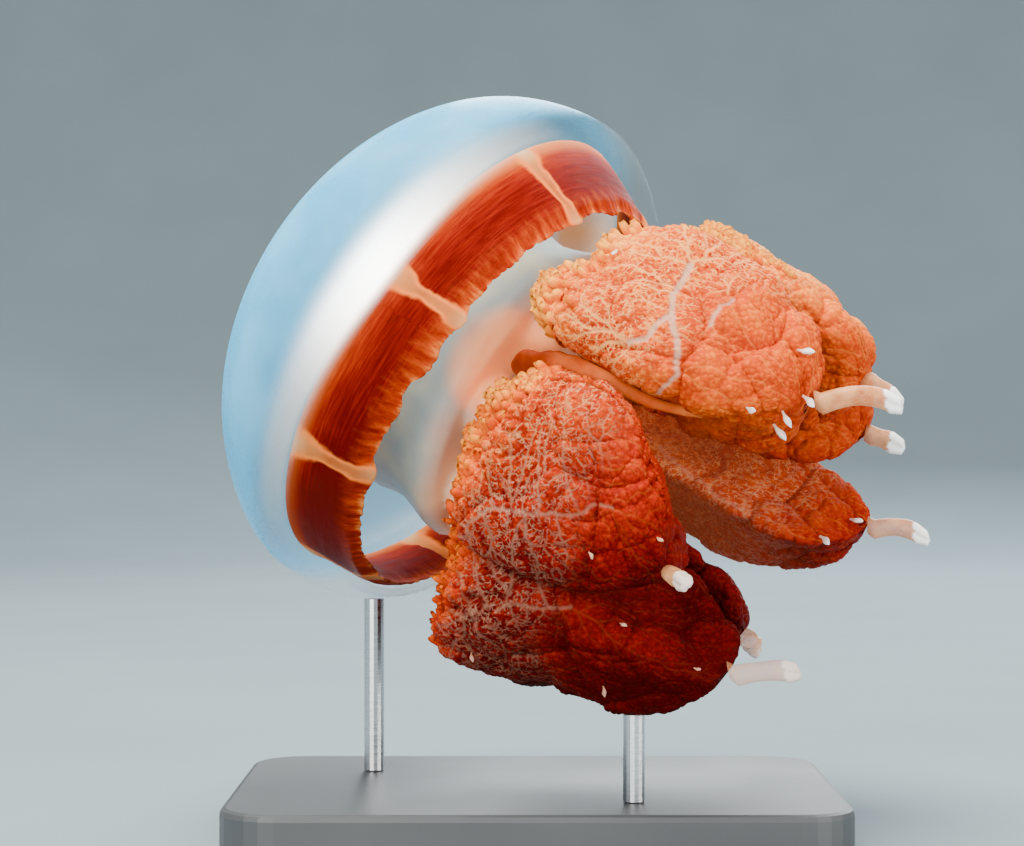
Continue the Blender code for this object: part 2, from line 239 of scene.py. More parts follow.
def domes(points, size, salt, power):
    """Rounded heads with creases between them, one head round a seed in each cell of this size.

    Gives the height, 1 at a head's middle and 0 in a crease, the head's own number from 0 to 1
    and how far the point lies from the head's middle on the way of LIFT.
    """
    q = points / size
    base = np.floor(q).astype(np.int64)
    first = np.full(q.shape[:-1], 9.0)
    second, tag, lean = first.copy(), np.zeros_like(first), np.zeros_like(first)
    for step in np.ndindex(3, 3, 3):
        cell = base + (np.array(step) - 1)
        away, past = 0.0, 0.0
        for axis in range(3):
            seed = 0.5 + (hashed(cell, salt + axis) - 0.5) * SEED_SPREAD
            offset = q[..., axis] - seed - cell[..., axis]
            away = away + offset ** 2
            past = past + offset * LIFT[axis]
        away = np.sqrt(away)
        closer = away < first
        second = np.where(closer, first, np.minimum(second, away))
        tag = np.where(closer, hashed(cell, salt + 7), tag)
        lean = np.where(closer, past, lean)
        first = np.minimum(first, away)
    return 1.0 - (first / second) ** power, tag, lean


def wander(points, size, salt):
    """Smooth noise from -1 to 1."""
    q = points / size
    base = np.floor(q).astype(np.int64)
    f = q - base
    f = f * f * (3.0 - 2.0 * f)
    total = 0.0
    for step in np.ndindex(2, 2, 2):
        weight = np.ones(q.shape[:-1])
        for axis in range(3):
            weight = weight * (f[..., axis] if step[axis] else 1.0 - f[..., axis])
        total = total + weight * hashed(base + np.array(step), salt)
    return total * 2.0 - 1.0


def drift(points, size, salt):
    """Smooth noise as a vector at each point."""
    return np.stack([wander(points, size, salt + k) for k in range(3)], -1)


# ---- meshes


def add_object(name, data):
    made = bpy.data.objects.new(name, data)
    bpy.context.scene.collection.objects.link(made)
    return made


def new_piece(name, points, faces, look, values=None, spread=None):
    """An object of these points (mm), quads or triangles, per-point values and bake map."""
    mesh = bpy.data.meshes.new(name)
    points = np.asarray(points, np.float32).reshape(-1, 3) * MM
    mesh.vertices.add(len(points))
    mesh.vertices.foreach_set("co", points.ravel())
    corners = np.concatenate([group.ravel() for group in faces]).astype(np.int32)
    sizes = np.concatenate([np.full(len(group), group.shape[1], np.int32) for group in faces])
    mesh.loops.add(len(corners))
    mesh.loops.foreach_set("vertex_index", corners)
    mesh.polygons.add(len(sizes))
    mesh.polygons.foreach_set("loop_start", (np.cumsum(sizes) - sizes).astype(np.int32))
    mesh.update(calc_edges=True)
    mesh.shade_smooth()
    for key, array in (values or {}).items():
        layer = mesh.attributes.new(key, "FLOAT", "POINT")
        layer.data.foreach_set("value", np.asarray(array, np.float32).ravel())
    if spread is not None:
        uv = mesh.uv_layers.new(name="OFBake")
        uv.data.foreach_set("uv", np.asarray(spread, np.float32).ravel())
    mesh.materials.append(look)
    return add_object(name, mesh)


def dress(piece, slot, *nodes):
    """The piece rides the body and stands for these CAD nodes; the slot is not used."""
    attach(piece, "root")
    if nodes:
        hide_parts(*nodes)


def face_out(piece):
    """Turns the faces of a closed piece outwards."""
    solid = bmesh.new()
    solid.from_mesh(piece.data)
    bmesh.ops.recalc_face_normals(solid, faces=solid.faces)
    solid.to_mesh(piece.data)
    solid.free()


def grid_faces(rows, cols):
    """Quads of a grid whose columns close into a ring."""
    index = np.arange(rows * cols).reshape(rows, cols)
    right = np.roll(index, -1, axis=1)
    return np.stack([index[:-1], right[:-1], right[1:], index[1:]], -1).reshape(-1, 4)


def fan_cap(ring, pole):
    """Triangles from a ring of points to one pole."""
    return np.stack([ring, np.full(len(ring), pole), np.roll(ring, -1)], -1)


def tube_faces(rows, cols, start=0, pole=None):
    """Quads of a tube whose points begin at start, and the triangles to a pole at each end."""
    pole = rows * cols if pole is None else pole
    ring = np.arange(cols) + start
    return [grid_faces(rows, cols) + start, fan_cap(ring, pole)[:, ::-1],
            fan_cap(ring + (rows - 1) * cols, pole + 1)]


def round_turn(sides):
    return np.arange(sides) * TAU / sides


def hoop(centre, side, top, turn, half):
    """Rings of points round their centres, in the plane of side and top."""
    return centre + (side * np.cos(turn)[:, None] + top * np.sin(turn)[:, None]) * half[..., None]


def grid_spread(rows, cols, low, high):
    """Bake map places of grid_faces' corners: columns across the map, rows from low to high."""
    row, col = np.meshgrid(np.arange(rows - 1), np.arange(cols), indexing="ij")
    corners = [np.stack([(col + right) / cols, low + (high - low) * (row + up) / (rows - 1)], -1)
               for up, right in ((0, 0), (0, 1), (1, 1), (1, 0))]
    return np.stack(corners, 2).reshape(-1, 4, 2)


def cap_spread(cols, ring, pole):
    """Bake map places of a fan_cap's corners, as teeth between two heights of the map."""
    col = np.arange(cols)
    return np.stack([np.stack([(col + step) / cols, np.full(cols, at)], -1)
                     for step, at in ((0.0, ring), (0.5, pole), (1.0, ring))], 1)


def grid_normals(points):
    along_rows = np.gradient(points, axis=0)
    around = (np.roll(points, -1, axis=1) - np.roll(points, 1, axis=1)) / 2.0
    normal = np.cross(around, along_rows)
    return normal / np.maximum(np.linalg.norm(normal, axis=-1, keepdims=True), 1e-9)


# ---- materials


class Wire:
    """A node's output. Arithmetic with wires adds Math nodes to their material."""

    def __init__(self, look, socket):
        self.look, self.socket = look, socket

    def math(self, operation, a, b):
        return self.look.node("Math", 0, {"operation": operation}, i0=a, i1=b)

    def __add__(self, other):
        return self.math("ADD", self, other)

    def __sub__(self, other):
        return self.math("SUBTRACT", self, other)

    def __rsub__(self, other):
        return self.math("SUBTRACT", other, self)

    def __mul__(self, other):
        return self.math("MULTIPLY", self, other)

    def __pow__(self, other):
        return self.math("POWER", self, other)

    def most(self, other):
        return self.math("MAXIMUM", self, other)

    def clamped(self):
        self.socket.node.use_clamp = True
        return self


class Look:
    """A material with its Principled shader and short ways to add nodes."""

    def __init__(self, name, colour, roughness, **sockets):
        self.made = bpy.data.materials.new(name)
        self.made.use_nodes = True
        self.tree = self.made.node_tree
        self.shader = self.tree.nodes["Principled BSDF"]
        self.set("Base Color", colour)
        self.set("Roughness", roughness)
        for key, value in sockets.items():
            self.set(key.replace("_", " "), value)

    def feed(self, socket, value):
        """Links a wire to the socket, or sets the socket's own value."""
        if isinstance(value, Wire):
            self.tree.links.new(value.socket, socket)
        elif socket.type == "RGBA":
            socket.default_value = (*value, 1.0)
        else:
            socket.default_value = value

    def set(self, socket, value):
        self.feed(self.shader.inputs[socket], value)

    def node(self, kind, output, settings=(), **sockets):
        """One output of a new node. Its inputs go by name, or as i0, i1 and so on by place."""
        made = self.tree.nodes.new("ShaderNode" + kind)
        for key, value in dict(settings).items():
            setattr(made, key, value)
        for key, value in sockets.items():
            self.feed(made.inputs[int(key[1:]) if key[1:].isdigit() else key], value)
        return Wire(self, made.outputs[output])

    def values(self, *names):
        """The mesh's own values at each point."""
        return [self.node("Attribute", "Fac", {"attribute_name": name}) for name in names]

    def remap(self, value, a, b, c=0.0, d=1.0):
        """Runs softly from c to d as the value runs from a to b."""
        return self.node("MapRange", 0, {"interpolation_type": "SMOOTHSTEP"},
                         i0=value, i1=a, i2=b, i3=c, i4=d)

    def swing(self, noise, c=0.0, d=1.0):
        """Runs from c to d over a noise's common values."""
        return self.remap(noise, 0.3, 0.7, c, d)

    def ramp(self, value, *stops):
        """A colour that runs through these stops, each (value, red, green, blue)."""
        made = self.node("ValToRGB", "Color", Fac=value)
        bar = made.socket.node.color_ramp.elements
        while len(bar) < len(stops):
            bar.new(0.5)
        for element, (at, *colour) in zip(bar, stops):
            element.position, element.color = at, (*colour, 1.0)
        return made

    def mix(self, share, a, b, blend="MIX"):
        """Colours a and b, b where share is 1."""
        return self.node("Mix", 2, {"data_type": "RGBA", "blend_type": blend}, i0=share, i6=a, i7=b)

    def here(self):
        return self.node("TexCoord", "Object")

    def noise(self, scale, detail=3.0, rough=0.5, where=None, output="Fac"):
        return self.node("TexNoise", output, Vector=where or self.here(), Scale=scale, Detail=detail,
                         Roughness=rough)

    def done(self, colour, roughness, height, strength, distance):
        """The material with this colour, roughness and bumps of this height."""
        self.set("Base Color", colour)
        self.set("Roughness", roughness)
        self.set("Normal", self.node("Bump", "Normal", Strength=strength, Distance=distance,
                                     Height=height))
        return self.made


# ---- camera, floor and lights


def set_camera():
    """A camera level with the bell's centre."""
    camera = add_object("camera", bpy.data.cameras.new("camera"))
    camera.data.lens, camera.data.sensor_width = 86.7, 36.0
    camera.data.clip_start, camera.data.clip_end = 0.01, 50.0
    camera.location = (-0.0059, -0.620, 0.1005)
    camera.rotation_euler = (math.pi / 2.0, 0.0, 0.0)
    bpy.context.scene.camera = camera


def set_floor():
    """A pale floor just under the stand, swept up all round."""
    floor_z, flat_r, sweep_r, wall_z = -0.3, 1200.0, 900.0, (1500.0, 2600.0)
    profile = [(r, floor_z) for r in (300.0, 700.0, flat_r)]
    profile += [(flat_r + sweep_r * math.sin(a), floor_z + sweep_r * (1.0 - math.cos(a)))
                for a in np.linspace(0.08, math.pi / 2.0, 16)]
    profile += [(flat_r + sweep_r, z) for z in wall_z]
    r, z = np.array(profile).T[..., None]
    cols = 96
    turn = round_turn(cols)
    points = np.stack([r * np.cos(turn), r * np.sin(turn), z + 0.0 * turn], -1)
    points = np.concatenate([points.reshape(-1, 3), [[0.0, 0.0, floor_z]]])
    faces = [grid_faces(len(r), cols)[:, ::-1], fan_cap(np.arange(cols), len(points) - 1)[:, ::-1]]
    look = Look("studio_paper", (0.5, 0.5, 0.5), 0.9)
    look.set("Base Color", look.ramp(look.noise(9.0, 4.0), (0.3, 0.175, 0.232, 0.262),
                                     (0.7, 0.190, 0.250, 0.280)))
    new_piece("studio_floor", points, faces, look.made)


def set_lights():
    """An even sky and four large soft lamps."""
    middle = Vector((0.0, 0.0, 0.11))
    world = bpy.data.worlds.new("studio")
    world.use_nodes = True
    sky = world.node_tree.nodes["Background"]
    sky.inputs["Color"].default_value = (0.95, 0.97, 1.0, 1.0)
    sky.inputs["Strength"].default_value = 1.10
    bpy.context.scene.world = world
    for name, at, size, power, colour in (
        ("key", (-0.25, -0.15, 1.25), 0.8, 46.0, (1.0, 0.95, 0.86)),
        ("fill", (-0.55, -1.20, 0.42), 0.9, 26.0, (1.0, 0.97, 0.93)),
        ("side", (1.05, -0.75, 0.20), 0.8, 24.0, (1.0, 0.96, 0.90)),
        ("back", (0.35, 1.10, 0.75), 1.0, 22.0, (0.92, 0.97, 1.0)),
    ):
        lamp = add_object(name, bpy.data.lights.new(name, "AREA"))
        lamp.data.size, lamp.data.energy, lamp.data.color = size, power, colour
        lamp.location = at
        lamp.rotation_euler = (middle - Vector(at)).to_track_quat("-Z", "Y").to_euler()


# ---- bell

DOME_ROWS, SIDE_ROWS, RIM_ROWS = 69, 26, 9
MILK_DOME, THICK_DOME = 0.46, 0.84


def bell_profile():
    """(r, z) from the apex over the rim and back along the hollow, with a soft rim."""
    a = np.linspace(0.0, math.pi / 2.0, DOME_ROWS + 1)[1:]
    points = [np.stack([BELL_R * np.sin(a), -DOME_H * np.cos(a)], -1)]
    z = np.linspace(0.4, RIM_Z - 0.3, SIDE_ROWS)
    points.append(np.stack([BELL_R - (BELL_R - RIM_R) * (z / RIM_Z) ** 1.8, z], -1))
    turn = np.linspace(0.25, math.pi - 0.25, RIM_ROWS)
    mid, half = (RIM_R + HOLLOW_RIM_R) / 2.0, (RIM_R - HOLLOW_RIM_R) / 2.0
    points.append(np.stack([mid + half * np.cos(turn), RIM_Z + 1.1 * np.sin(turn)], -1))
    z = np.linspace(RIM_Z - 0.3, HOLLOW_Z, 30)
    points.append(np.stack([hollow_wall(z), z], -1))
    r = HOLLOW_R * np.sin(np.linspace(math.pi / 2.0, 0.0, 50)[1:-1])
    points.append(np.stack([r, hollow_roof(r)], -1))
    return np.concatenate(points)


def jelly_look():
    """Clear jelly, milky in the thick of the dome and clear over the muscle ring, with a painted glow on its
    inner side beside the muscle.
    """
    look = Look("bell_jelly", (0.78, 0.86, 0.93), 0.26, IOR=1.34, Specular_IOR_Level=0.14)
    milk_and_glow, inner, thick, tan = look.values("milk_and_glow", "inner", "thick", "tan")
    grain, cloud = look.noise(900.0, 4.0, 0.6), look.noise(42.0)
    facing = look.node("LayerWeight", "Facing", Blend=0.35)
    limb = facing ** 1.7 * thick
    rim = facing ** 11.0 * look.remap(thick, 0.0, 0.5, 0.2, 0.7)
    soft = milk_and_glow * look.remap(facing, 0.16, 0.66, 1.0, 0.0)
    alpha = look.mix(inner, milk_and_glow + limb.most(rim), soft).most(tan * 0.92)
    look.set("Alpha", (alpha * look.swing(cloud, 0.92, 1.06)).clamped())
    outside = look.mix(look.swing(cloud), (0.07, 0.50, 0.88), (0.14, 0.58, 0.93))
    inside = look.mix(look.swing(cloud), (0.90, 0.95, 0.98), (0.98, 0.97, 0.93))
    colour = look.mix(tan, look.mix(inner, outside, inside), (0.82, 0.33, 0.10))
    # painted glow: the jelly beside the muscle emits light, standing in for daylight caught in it
    painted_glow = (milk_and_glow * inner) ** 2.0
    look.set("Emission Color", look.mix(painted_glow, (1.0, 0.86, 0.72), (1.0, 0.98, 0.92)))
    look.set("Emission Strength", painted_glow * 9.0)
    return look.done(colour, look.swing(grain, 0.22, 0.32), grain, 0.03, 0.0003)


def bell_values(phi, z, inner):
    """Milkiness with a painted glow inside above the ring, thickness and tan of the jelly, over the dome, the
    ring and the margin.
    """
    over_ring, margin = smooth(-9.0, 2.5, z), smooth(16.5, 18.5, z)
    # the jelly is milkiest just above the muscle, where its inner side carries a painted glow, and one
    # stretch of the margin is cloudy too
    veil = hump_round(phi, 76.0, 17.0) * smooth(-2.0, 4.0, z)
    lower = hump_round(phi, -100.0, 20.0)
    # painted glow: the inner jelly above the muscle is painted milky white, brightest towards the viewer,
    # standing in for daylight scattered in it
    bright = 0.24 + 0.76 * hump_round(phi, 6.0, 27.0)
    milk_out = MILK_DOME * (1.0 - over_ring) + 0.06 * veil * (1.0 - smooth(8.0, 17.0, z))
    milk_out = milk_out + 0.16 * margin * lower
    glow = smooth(-15.0, -4.0, z) * (1.0 - smooth(-1.5 + 2.5 * bright, 2.0 + 2.5 * bright, z))
    milk_and_glow_in = 0.95 * glow * bright + 0.04 * veil + 0.08 * margin * lower
    milk_and_glow = np.where(inner > 0.0, milk_and_glow_in, milk_out)
    thick = THICK_DOME * (1.0 - over_ring) + 0.22 * margin * lower
    tan = hump(phi, 134.0, 17.0) * smooth(-20.0, -15.0, z) * (1.0 - smooth(-3.0, 0.5, z)) * inner
    return milk_and_glow, thick, np.maximum(tan, 0.35 * margin * lower)


def build_bell():
    profile = bell_profile()
    rows, cols, frills, frill_depth = len(profile), 288, 44.0, 0.55
    phi = np.arange(cols) * 360.0 / cols
    r, z = profile[:, 0][:, None], profile[:, 1][:, None]
    frill = 1.0 - np.abs(np.cos(np.radians(phi) * frills)) ** 0.7
    body = place_bell(r + 0.0 * phi, phi + 0.0 * r, z - frill_depth * hump(z, RIM_Z, 3.0) * frill)
    poles = [place_bell(0.0, 0.0, -DOME_H), place_bell(0.0, 0.0, hollow_roof(0.0))]
    outer_rows = DOME_ROWS + SIDE_ROWS + RIM_ROWS // 2 + 1
    inner = (np.arange(rows) >= outer_rows).astype(float)[:, None] + 0.0 * phi
    milk_and_glow, thick, tan = bell_values(phi, z, inner)
    values = {key: np.append(array.ravel(), ends) for key, array, ends in (
        ("milk_and_glow", milk_and_glow, (milk_and_glow[0, 0], milk_and_glow[-1, 0])), ("inner", inner, (0.0, 1.0)),
        ("thick", thick, (THICK_DOME, THICK_DOME)), ("tan", tan, (0.0, 0.0)))}
    quads, apex, roof = tube_faces(rows, cols)
    piece = new_piece("bell_skin", np.concatenate([body.reshape(-1, 3), poles]),
                      [quads[:, ::-1], apex, roof], jelly_look(), values)
    dress(piece, "bell_jelly", "bell")


# ---- muscle ring


def ring_look():
    """Red muscle with fibres and pleats, orange at its borders, and the paler canals between, all darker on
    the lower segments by painted shade.
    """
    look = Look("ring_muscle", (0.4, 0.05, 0.01), 0.6, Specular_IOR_Level=0.03)
    band, across, along_ring, deep = look.values("band", "across", "along", "deep")

    def streaks(lengthwise, crosswise, detail, rough):
        """Noise that is stretched along the ring."""
        where = look.node("CombineXYZ", 0, X=along_ring * lengthwise, Y=across * crosswise)
        return look.noise(1.0, detail, rough, where)

    fibre, pleat = streaks(0.10, 30.0, 6.0, 0.66), streaks(0.45, 2.6, 5.0, 0.62)
    blotch = look.noise(62.0)
    ragged = across + (pleat - 0.5) * 0.38
    torn = band + (blotch - 0.5) * 0.55
    frill = look.remap(ragged, 0.66, 1.04)
    # deepest red inside each length of muscle, orange towards its borders
    core = look.remap(across, 0.02, 0.50) * look.remap(torn, 0.55, 1.0)
    # deep: painted shade that darkens the lower segments
    shade = fibre * 0.55 + blotch * 0.25 + (1.0 - core) * 0.24 - deep * 0.16
    muscle = look.ramp(shade, (0.34, 0.10, 0.0015, 0.0005), (0.46, 0.19, 0.005, 0.0007),
                       (0.58, 0.32, 0.020, 0.001), (0.72, 0.55, 0.075, 0.003))
    pleat = pleat - deep * 0.14
    pleated = look.ramp(pleat, (0.30, 0.26, 0.010, 0.0005), (0.46, 0.38, 0.030, 0.001),
                        (0.60, 0.52, 0.065, 0.003), (0.76, 0.74, 0.16, 0.012))
    colour = look.mix(frill, muscle, pleated)
    colour = look.mix(look.remap(ragged, 0.95, 1.10) * 0.6, colour, (0.92, 0.42, 0.10))
    haze = look.remap(across + fibre * 0.12, 0.04, 0.26, 0.85, 0.0)
    colour = look.mix(haze, colour, look.mix(deep, (0.84, 0.25, 0.06), (0.36, 0.050, 0.004)))
    orange = look.mix(look.remap(torn, 0.42, 0.96), (0.86, 0.20, 0.03), colour)
    canal = look.ramp(across, (0.0, 0.80, 0.48, 0.22), (0.20, 0.52, 0.17, 0.045),
                      (0.50, 0.34, 0.065, 0.010), (0.82, 0.36, 0.08, 0.015), (1.0, 0.58, 0.29, 0.12))
    canal = look.mix(deep * 0.4, canal, (0.20, 0.020, 0.003))
    canal = look.mix(look.swing(blotch, 0.35, 0.0), canal, (0.88, 0.30, 0.08))
    colour = look.mix(look.remap(torn, -0.05, 0.62), canal, orange)
    return look.done(colour, look.swing(fibre, 0.5, 0.68), look.mix(frill, fibre, pleat), 0.3, 0.0007)


def ring_rows(phi, half_rows):
    """Rows of r, z, share of the band's breadth and muscle or canal, out along the bell and back."""
    degree_r = 57.3
    from_canal = np.abs((phi - FIRST_CANAL + CANAL_PITCH / 2.0) % CANAL_PITCH - CANAL_PITCH / 2.0)
    line = np.stack([np.cos(np.radians(phi)), np.sin(np.radians(phi)), 0.0 * phi], -1) * degree_r
    wave = wander(line, 7.0, 11)
    bite = 0.9 * wander(line, 3.4, 12) + 0.55 * wander(line, 1.5, 13)
    serrate = domes(line + 1.2 * bite[:, None], 3.6, 14, 2.2)[0] ** 0.7 + 0.35 * bite
    v = np.linspace(0.0, 1.0, half_rows)
    rows = []
    for inside, order in ((False, v), (True, v[::-1])):
        for t in order:
            shifted = line + np.array((0.0, 0.0, t * 17.0))
            ragged = wander(shifted, 2.2, 5) + 0.6 * wander(shifted, 0.9, 6)
            flare = 0.60 + 1.5 * (1.0 - t) ** 4 + 0.6 * t ** 6
            gap = math.degrees(CANAL_WIDTH / 2.0 / HOLLOW_RIM_R) * flare
            band = smooth(gap * 0.10, gap * 2.3, from_canal + 0.6 * ragged)
            z = BAND_TOP_Z + (LAPPET_Z - BAND_TOP_Z) * t
            wall = hollow_wall(np.minimum(z, RIM_Z - 0.6)) - 0.6
            frill = smooth(0.80, 1.0, t)
            out = wall + (LAPPET_R + 1.2 - wall) * frill ** 1.5
            fall = smooth(0.72, 1.0, t)
            z = z + fall * band * (0.6 * serrate - 1.0 + 1.3 * wave) + 0.7 * fall * (1 - band)
            if inside:
                swell = math.sin(math.pi * (0.10 + 0.86 * smooth(0.0, 1.15, t))) * (1.0 + 0.35 * band)
                depth = BAND_THICK * (0.25 + 0.75 * swell * (0.35 + 0.65 * band)) * (1.0 - 0.6 * frill)
                pleat = smooth(0.5, 0.95, t) * (0.22 * (serrate - 0.5) + 0.9 * wave) * band
                out = out - depth * (1.0 if 0.0 < t < 1.0 else 0.6) - pleat
            rows.append((out + 0.0 * phi, z, t + 0.0 * phi, band))
    return map(np.array, zip(*rows))


def build_ring():
    """The muscle under the margin as one sheet, broken by eight pale radial canals."""
    cols = 1240
    phi = np.arange(cols) * 360.0 / cols
    r, z, across, band = ring_rows(phi, 30)
    points = place_bell(r, np.broadcast_to(phi, r.shape), z)
    grain = np.stack([np.broadcast_to(phi * 0.9, r.shape) / 6.0, across * 20.0, 0 * across], -1)
    relief = 0.10 * wander(grain, 0.75, 3) * band * (1.0 - smooth(0.7, 0.9, across))
    points += grid_normals(points) * relief[..., None]
    index = np.arange(r.size).reshape(r.shape)
    closing = [index[-1], np.roll(index[-1], -1), np.roll(index[0], -1), index[0]]
    faces = [grid_faces(len(r), cols), np.stack(closing, -1)]
    # deep marks the lower segments, which take painted shade
    values = {"band": band, "across": across, "along": np.broadcast_to(phi * 1.05, r.shape),
              "deep": np.broadcast_to(hump_round(phi, -62.0, 34.0), r.shape)}
    nodes = [f"muscle_ring_{k}" for k in range(1, 9)]
    dress(new_piece("muscle_ring_skin", points, faces, ring_look(), values), "ring_muscle", *nodes)


# ---- column


def column_look():
    """Milky jelly, blushed round the pink mass and towards the arms, with a painted glow where it blushes."""
    look = Look("column_jelly", (0.7, 0.72, 0.74), 0.4, Subsurface_Weight=0.4, Subsurface_Scale=0.008,
                Subsurface_Radius=(1.0, 0.6, 0.45), Specular_IOR_Level=0.2)
    blush_and_glow, low, solid = look.values("blush_and_glow", "low", "solid")
    cloud, streak = look.noise(38.0, 4.0), look.noise(150.0, 4.0)
    milky = look.ramp(cloud, (0.30, 0.27, 0.36, 0.37), (0.50, 0.40, 0.45, 0.43), (0.68, 0.60, 0.58, 0.42))
    rosy = look.mix(look.swing(streak), (0.97, 0.34, 0.11), (0.99, 0.46, 0.19))
    colour = look.mix(blush_and_glow * look.remap(cloud, 0.2, 0.6, 0.6, 1.0), milky, rosy)
    colour = look.mix(low, colour, (0.60, 0.07, 0.01))
    # painted glow: the blushed jelly emits light, standing in for daylight that soaks through it
    look.set("Emission Color", (1.0, 0.25, 0.06))
    look.set("Emission Strength", blush_and_glow * 0.50)
    look.set("Alpha", solid)
    return look.done(colour, look.swing(cloud, 0.34, 0.46), look.noise(500.0), 0.05, 0.0004)


def joined_solids(names):
    """One mesh of these CAD solids, each swollen a little so that they grow together."""
    root_swell, swell = 0.0007, 0.00035
    joined = bmesh.new()
    for name in names:
        solid = bmesh.new()
        solid.from_mesh(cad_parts[name].data)
        bmesh.ops.remove_doubles(solid, verts=solid.verts, dist=1e-6)
        bmesh.ops.recalc_face_normals(solid, faces=solid.faces)
        solid.normal_update()
        out = root_swell if "root" in name else swell
        for vert, where in [(vert, vert.co + vert.normal * out) for vert in solid.verts]:
            vert.co = where
        data = bpy.data.meshes.new("scratch")
        solid.to_mesh(data)
        solid.free()
        joined.from_mesh(data)
        bpy.data.meshes.remove(data)
    data = bpy.data.meshes.new("column_scratch")
    joined.to_mesh(data)
    joined.free()
    return data


def remeshed(data):
    """Points (mm) and triangles of one smooth skin round the mesh, which is then removed."""
    made = add_object("column_scratch", data)
    remesh = made.modifiers.new("skin", "REMESH")
    remesh.mode, remesh.voxel_size = "VOXEL", 0.0009
    relax = made.modifiers.new("relax", "SMOOTH")
    relax.factor, relax.iterations = 0.5, 14
    skin = made.evaluated_get(bpy.context.evaluated_depsgraph_get())
    whole = skin.to_mesh()
    points = np.empty(len(whole.vertices) * 3, np.float32)
    whole.vertices.foreach_get("co", points)
    whole.calc_loop_triangles()
    faces = np.empty(len(whole.loop_triangles) * 3, np.int32)
    whole.loop_triangles.foreach_get("vertices", faces)
    skin.to_mesh_clear()
    bpy.data.objects.remove(made)
    bpy.data.meshes.remove(data)
    return points.reshape(-1, 3) / MM, faces.reshape(-1, 3)


def build_column():
    """Pillars, arm disc and arm roots grown together into one smooth body."""
    names = ["arm_disc"] + [f"pillar_{k}" for k in range(1, 5)] + [f"arm_root_{arm}" for arm in ARMS]
    points, faces = remeshed(joined_solids(names))
    z = (points - BELL_CENTRE) @ ORAL
    blush_and_glow = smooth(18.0, 29.0, z + 3.0 * wander(points, 9.0, 21))
    glow = np.linalg.norm(points - BLUSH_CENTRE, axis=1) + 1.5 * wander(points, 7.0, 22)
    blush_and_glow = np.maximum(0.55 * blush_and_glow, 0.97 * smooth(19.0, 11.5, glow))
    low = smooth(18.0, 29.0, z) * smooth(95.0, 55.0, points[:, 2]) * 0.4
    values = {"blush_and_glow": blush_and_glow, "low": low, "solid": smooth(-11.0, -3.0, z)}
    dress(new_piece("column_skin", points, [faces], column_look(), values), "disc_jelly", *names)


def fold_look():
    """Brown at the root, orange from there on."""
    look = Look("root_fold", (0.6, 0.12, 0.01), 0.5, Subsurface_Weight=0.3, Subsurface_Scale=0.003,
                Subsurface_Radius=(1.0, 0.3, 0.05), Specular_IOR_Level=0.05)
    run, streak = look.values("run")[0], look.noise(190.0, 4.0)
    brown = look.mix(look.swing(streak), (0.16, 0.014, 0.0005), (0.30, 0.036, 0.001))
    orange = look.mix(look.swing(streak), (0.52, 0.070, 0.006), (0.76, 0.17, 0.030))
    return look.done(look.mix(run, brown, orange), look.swing(streak, 0.42, 0.6), streak, 0.2, 0.0006)


def build_fold():
    """A rolled orange edge of the front arm's root, thinning to a membrane between two arms."""
    knots = np.array(FOLD)
    sides, rings, passes = 20, 90, 30
    at = np.linspace(0.0, len(knots) - 1.0, rings)
    line = np.stack([np.interp(at, np.arange(len(knots)), knots[:, axis]) for axis in range(4)], -1)
    for _ in range(passes):
        line[1:-1] = 0.5 * line[1:-1] + 0.25 * (line[:-2] + line[2:])
    middle = line[:, :3]
    way = unit(np.gradient(middle, axis=0))
    across = unit(np.cross(way, (0.0, -1.0, 0.0)))
    deep = np.cross(way, across)
    share = at / at[-1]
    half = line[:, 3] * np.sqrt(1.0 - np.clip(1.0 - share / 0.05, 0.0, 0.99) ** 2) * smooth(1.0, 0.93, share)
    half = half * (1.0 + 0.22 * wander(middle, 4.0, 31) + 0.12 * wander(middle, 1.7, 32))
    points = hoop(middle[:, None], across[:, None], 0.7 * deep[:, None], round_turn(sides), half[:, None])
    points = np.concatenate([points.reshape(-1, 3), middle[[0, -1]]])
    values = {"run": np.append(np.repeat(smooth(0.22, 0.50, share), sides), (0.0, 1.0))}
    dress(new_piece("root_fold_skin", points, tube_faces(rings, sides), fold_look(), values), "arm_root")


# ---- oral arms: their plain fans


def fan_swell(s):
    early = (1.0 - np.clip(1.0 - s / 0.3, 0.0, 1.0) ** 2.2) ** (1.0 / 2.2)
    late = (1.0 - np.clip((s - 0.3) / 0.7, 0.0, 1.0) ** 2.6) ** (1.0 / 2.6)
    return np.where(s < 0.3, early, late)


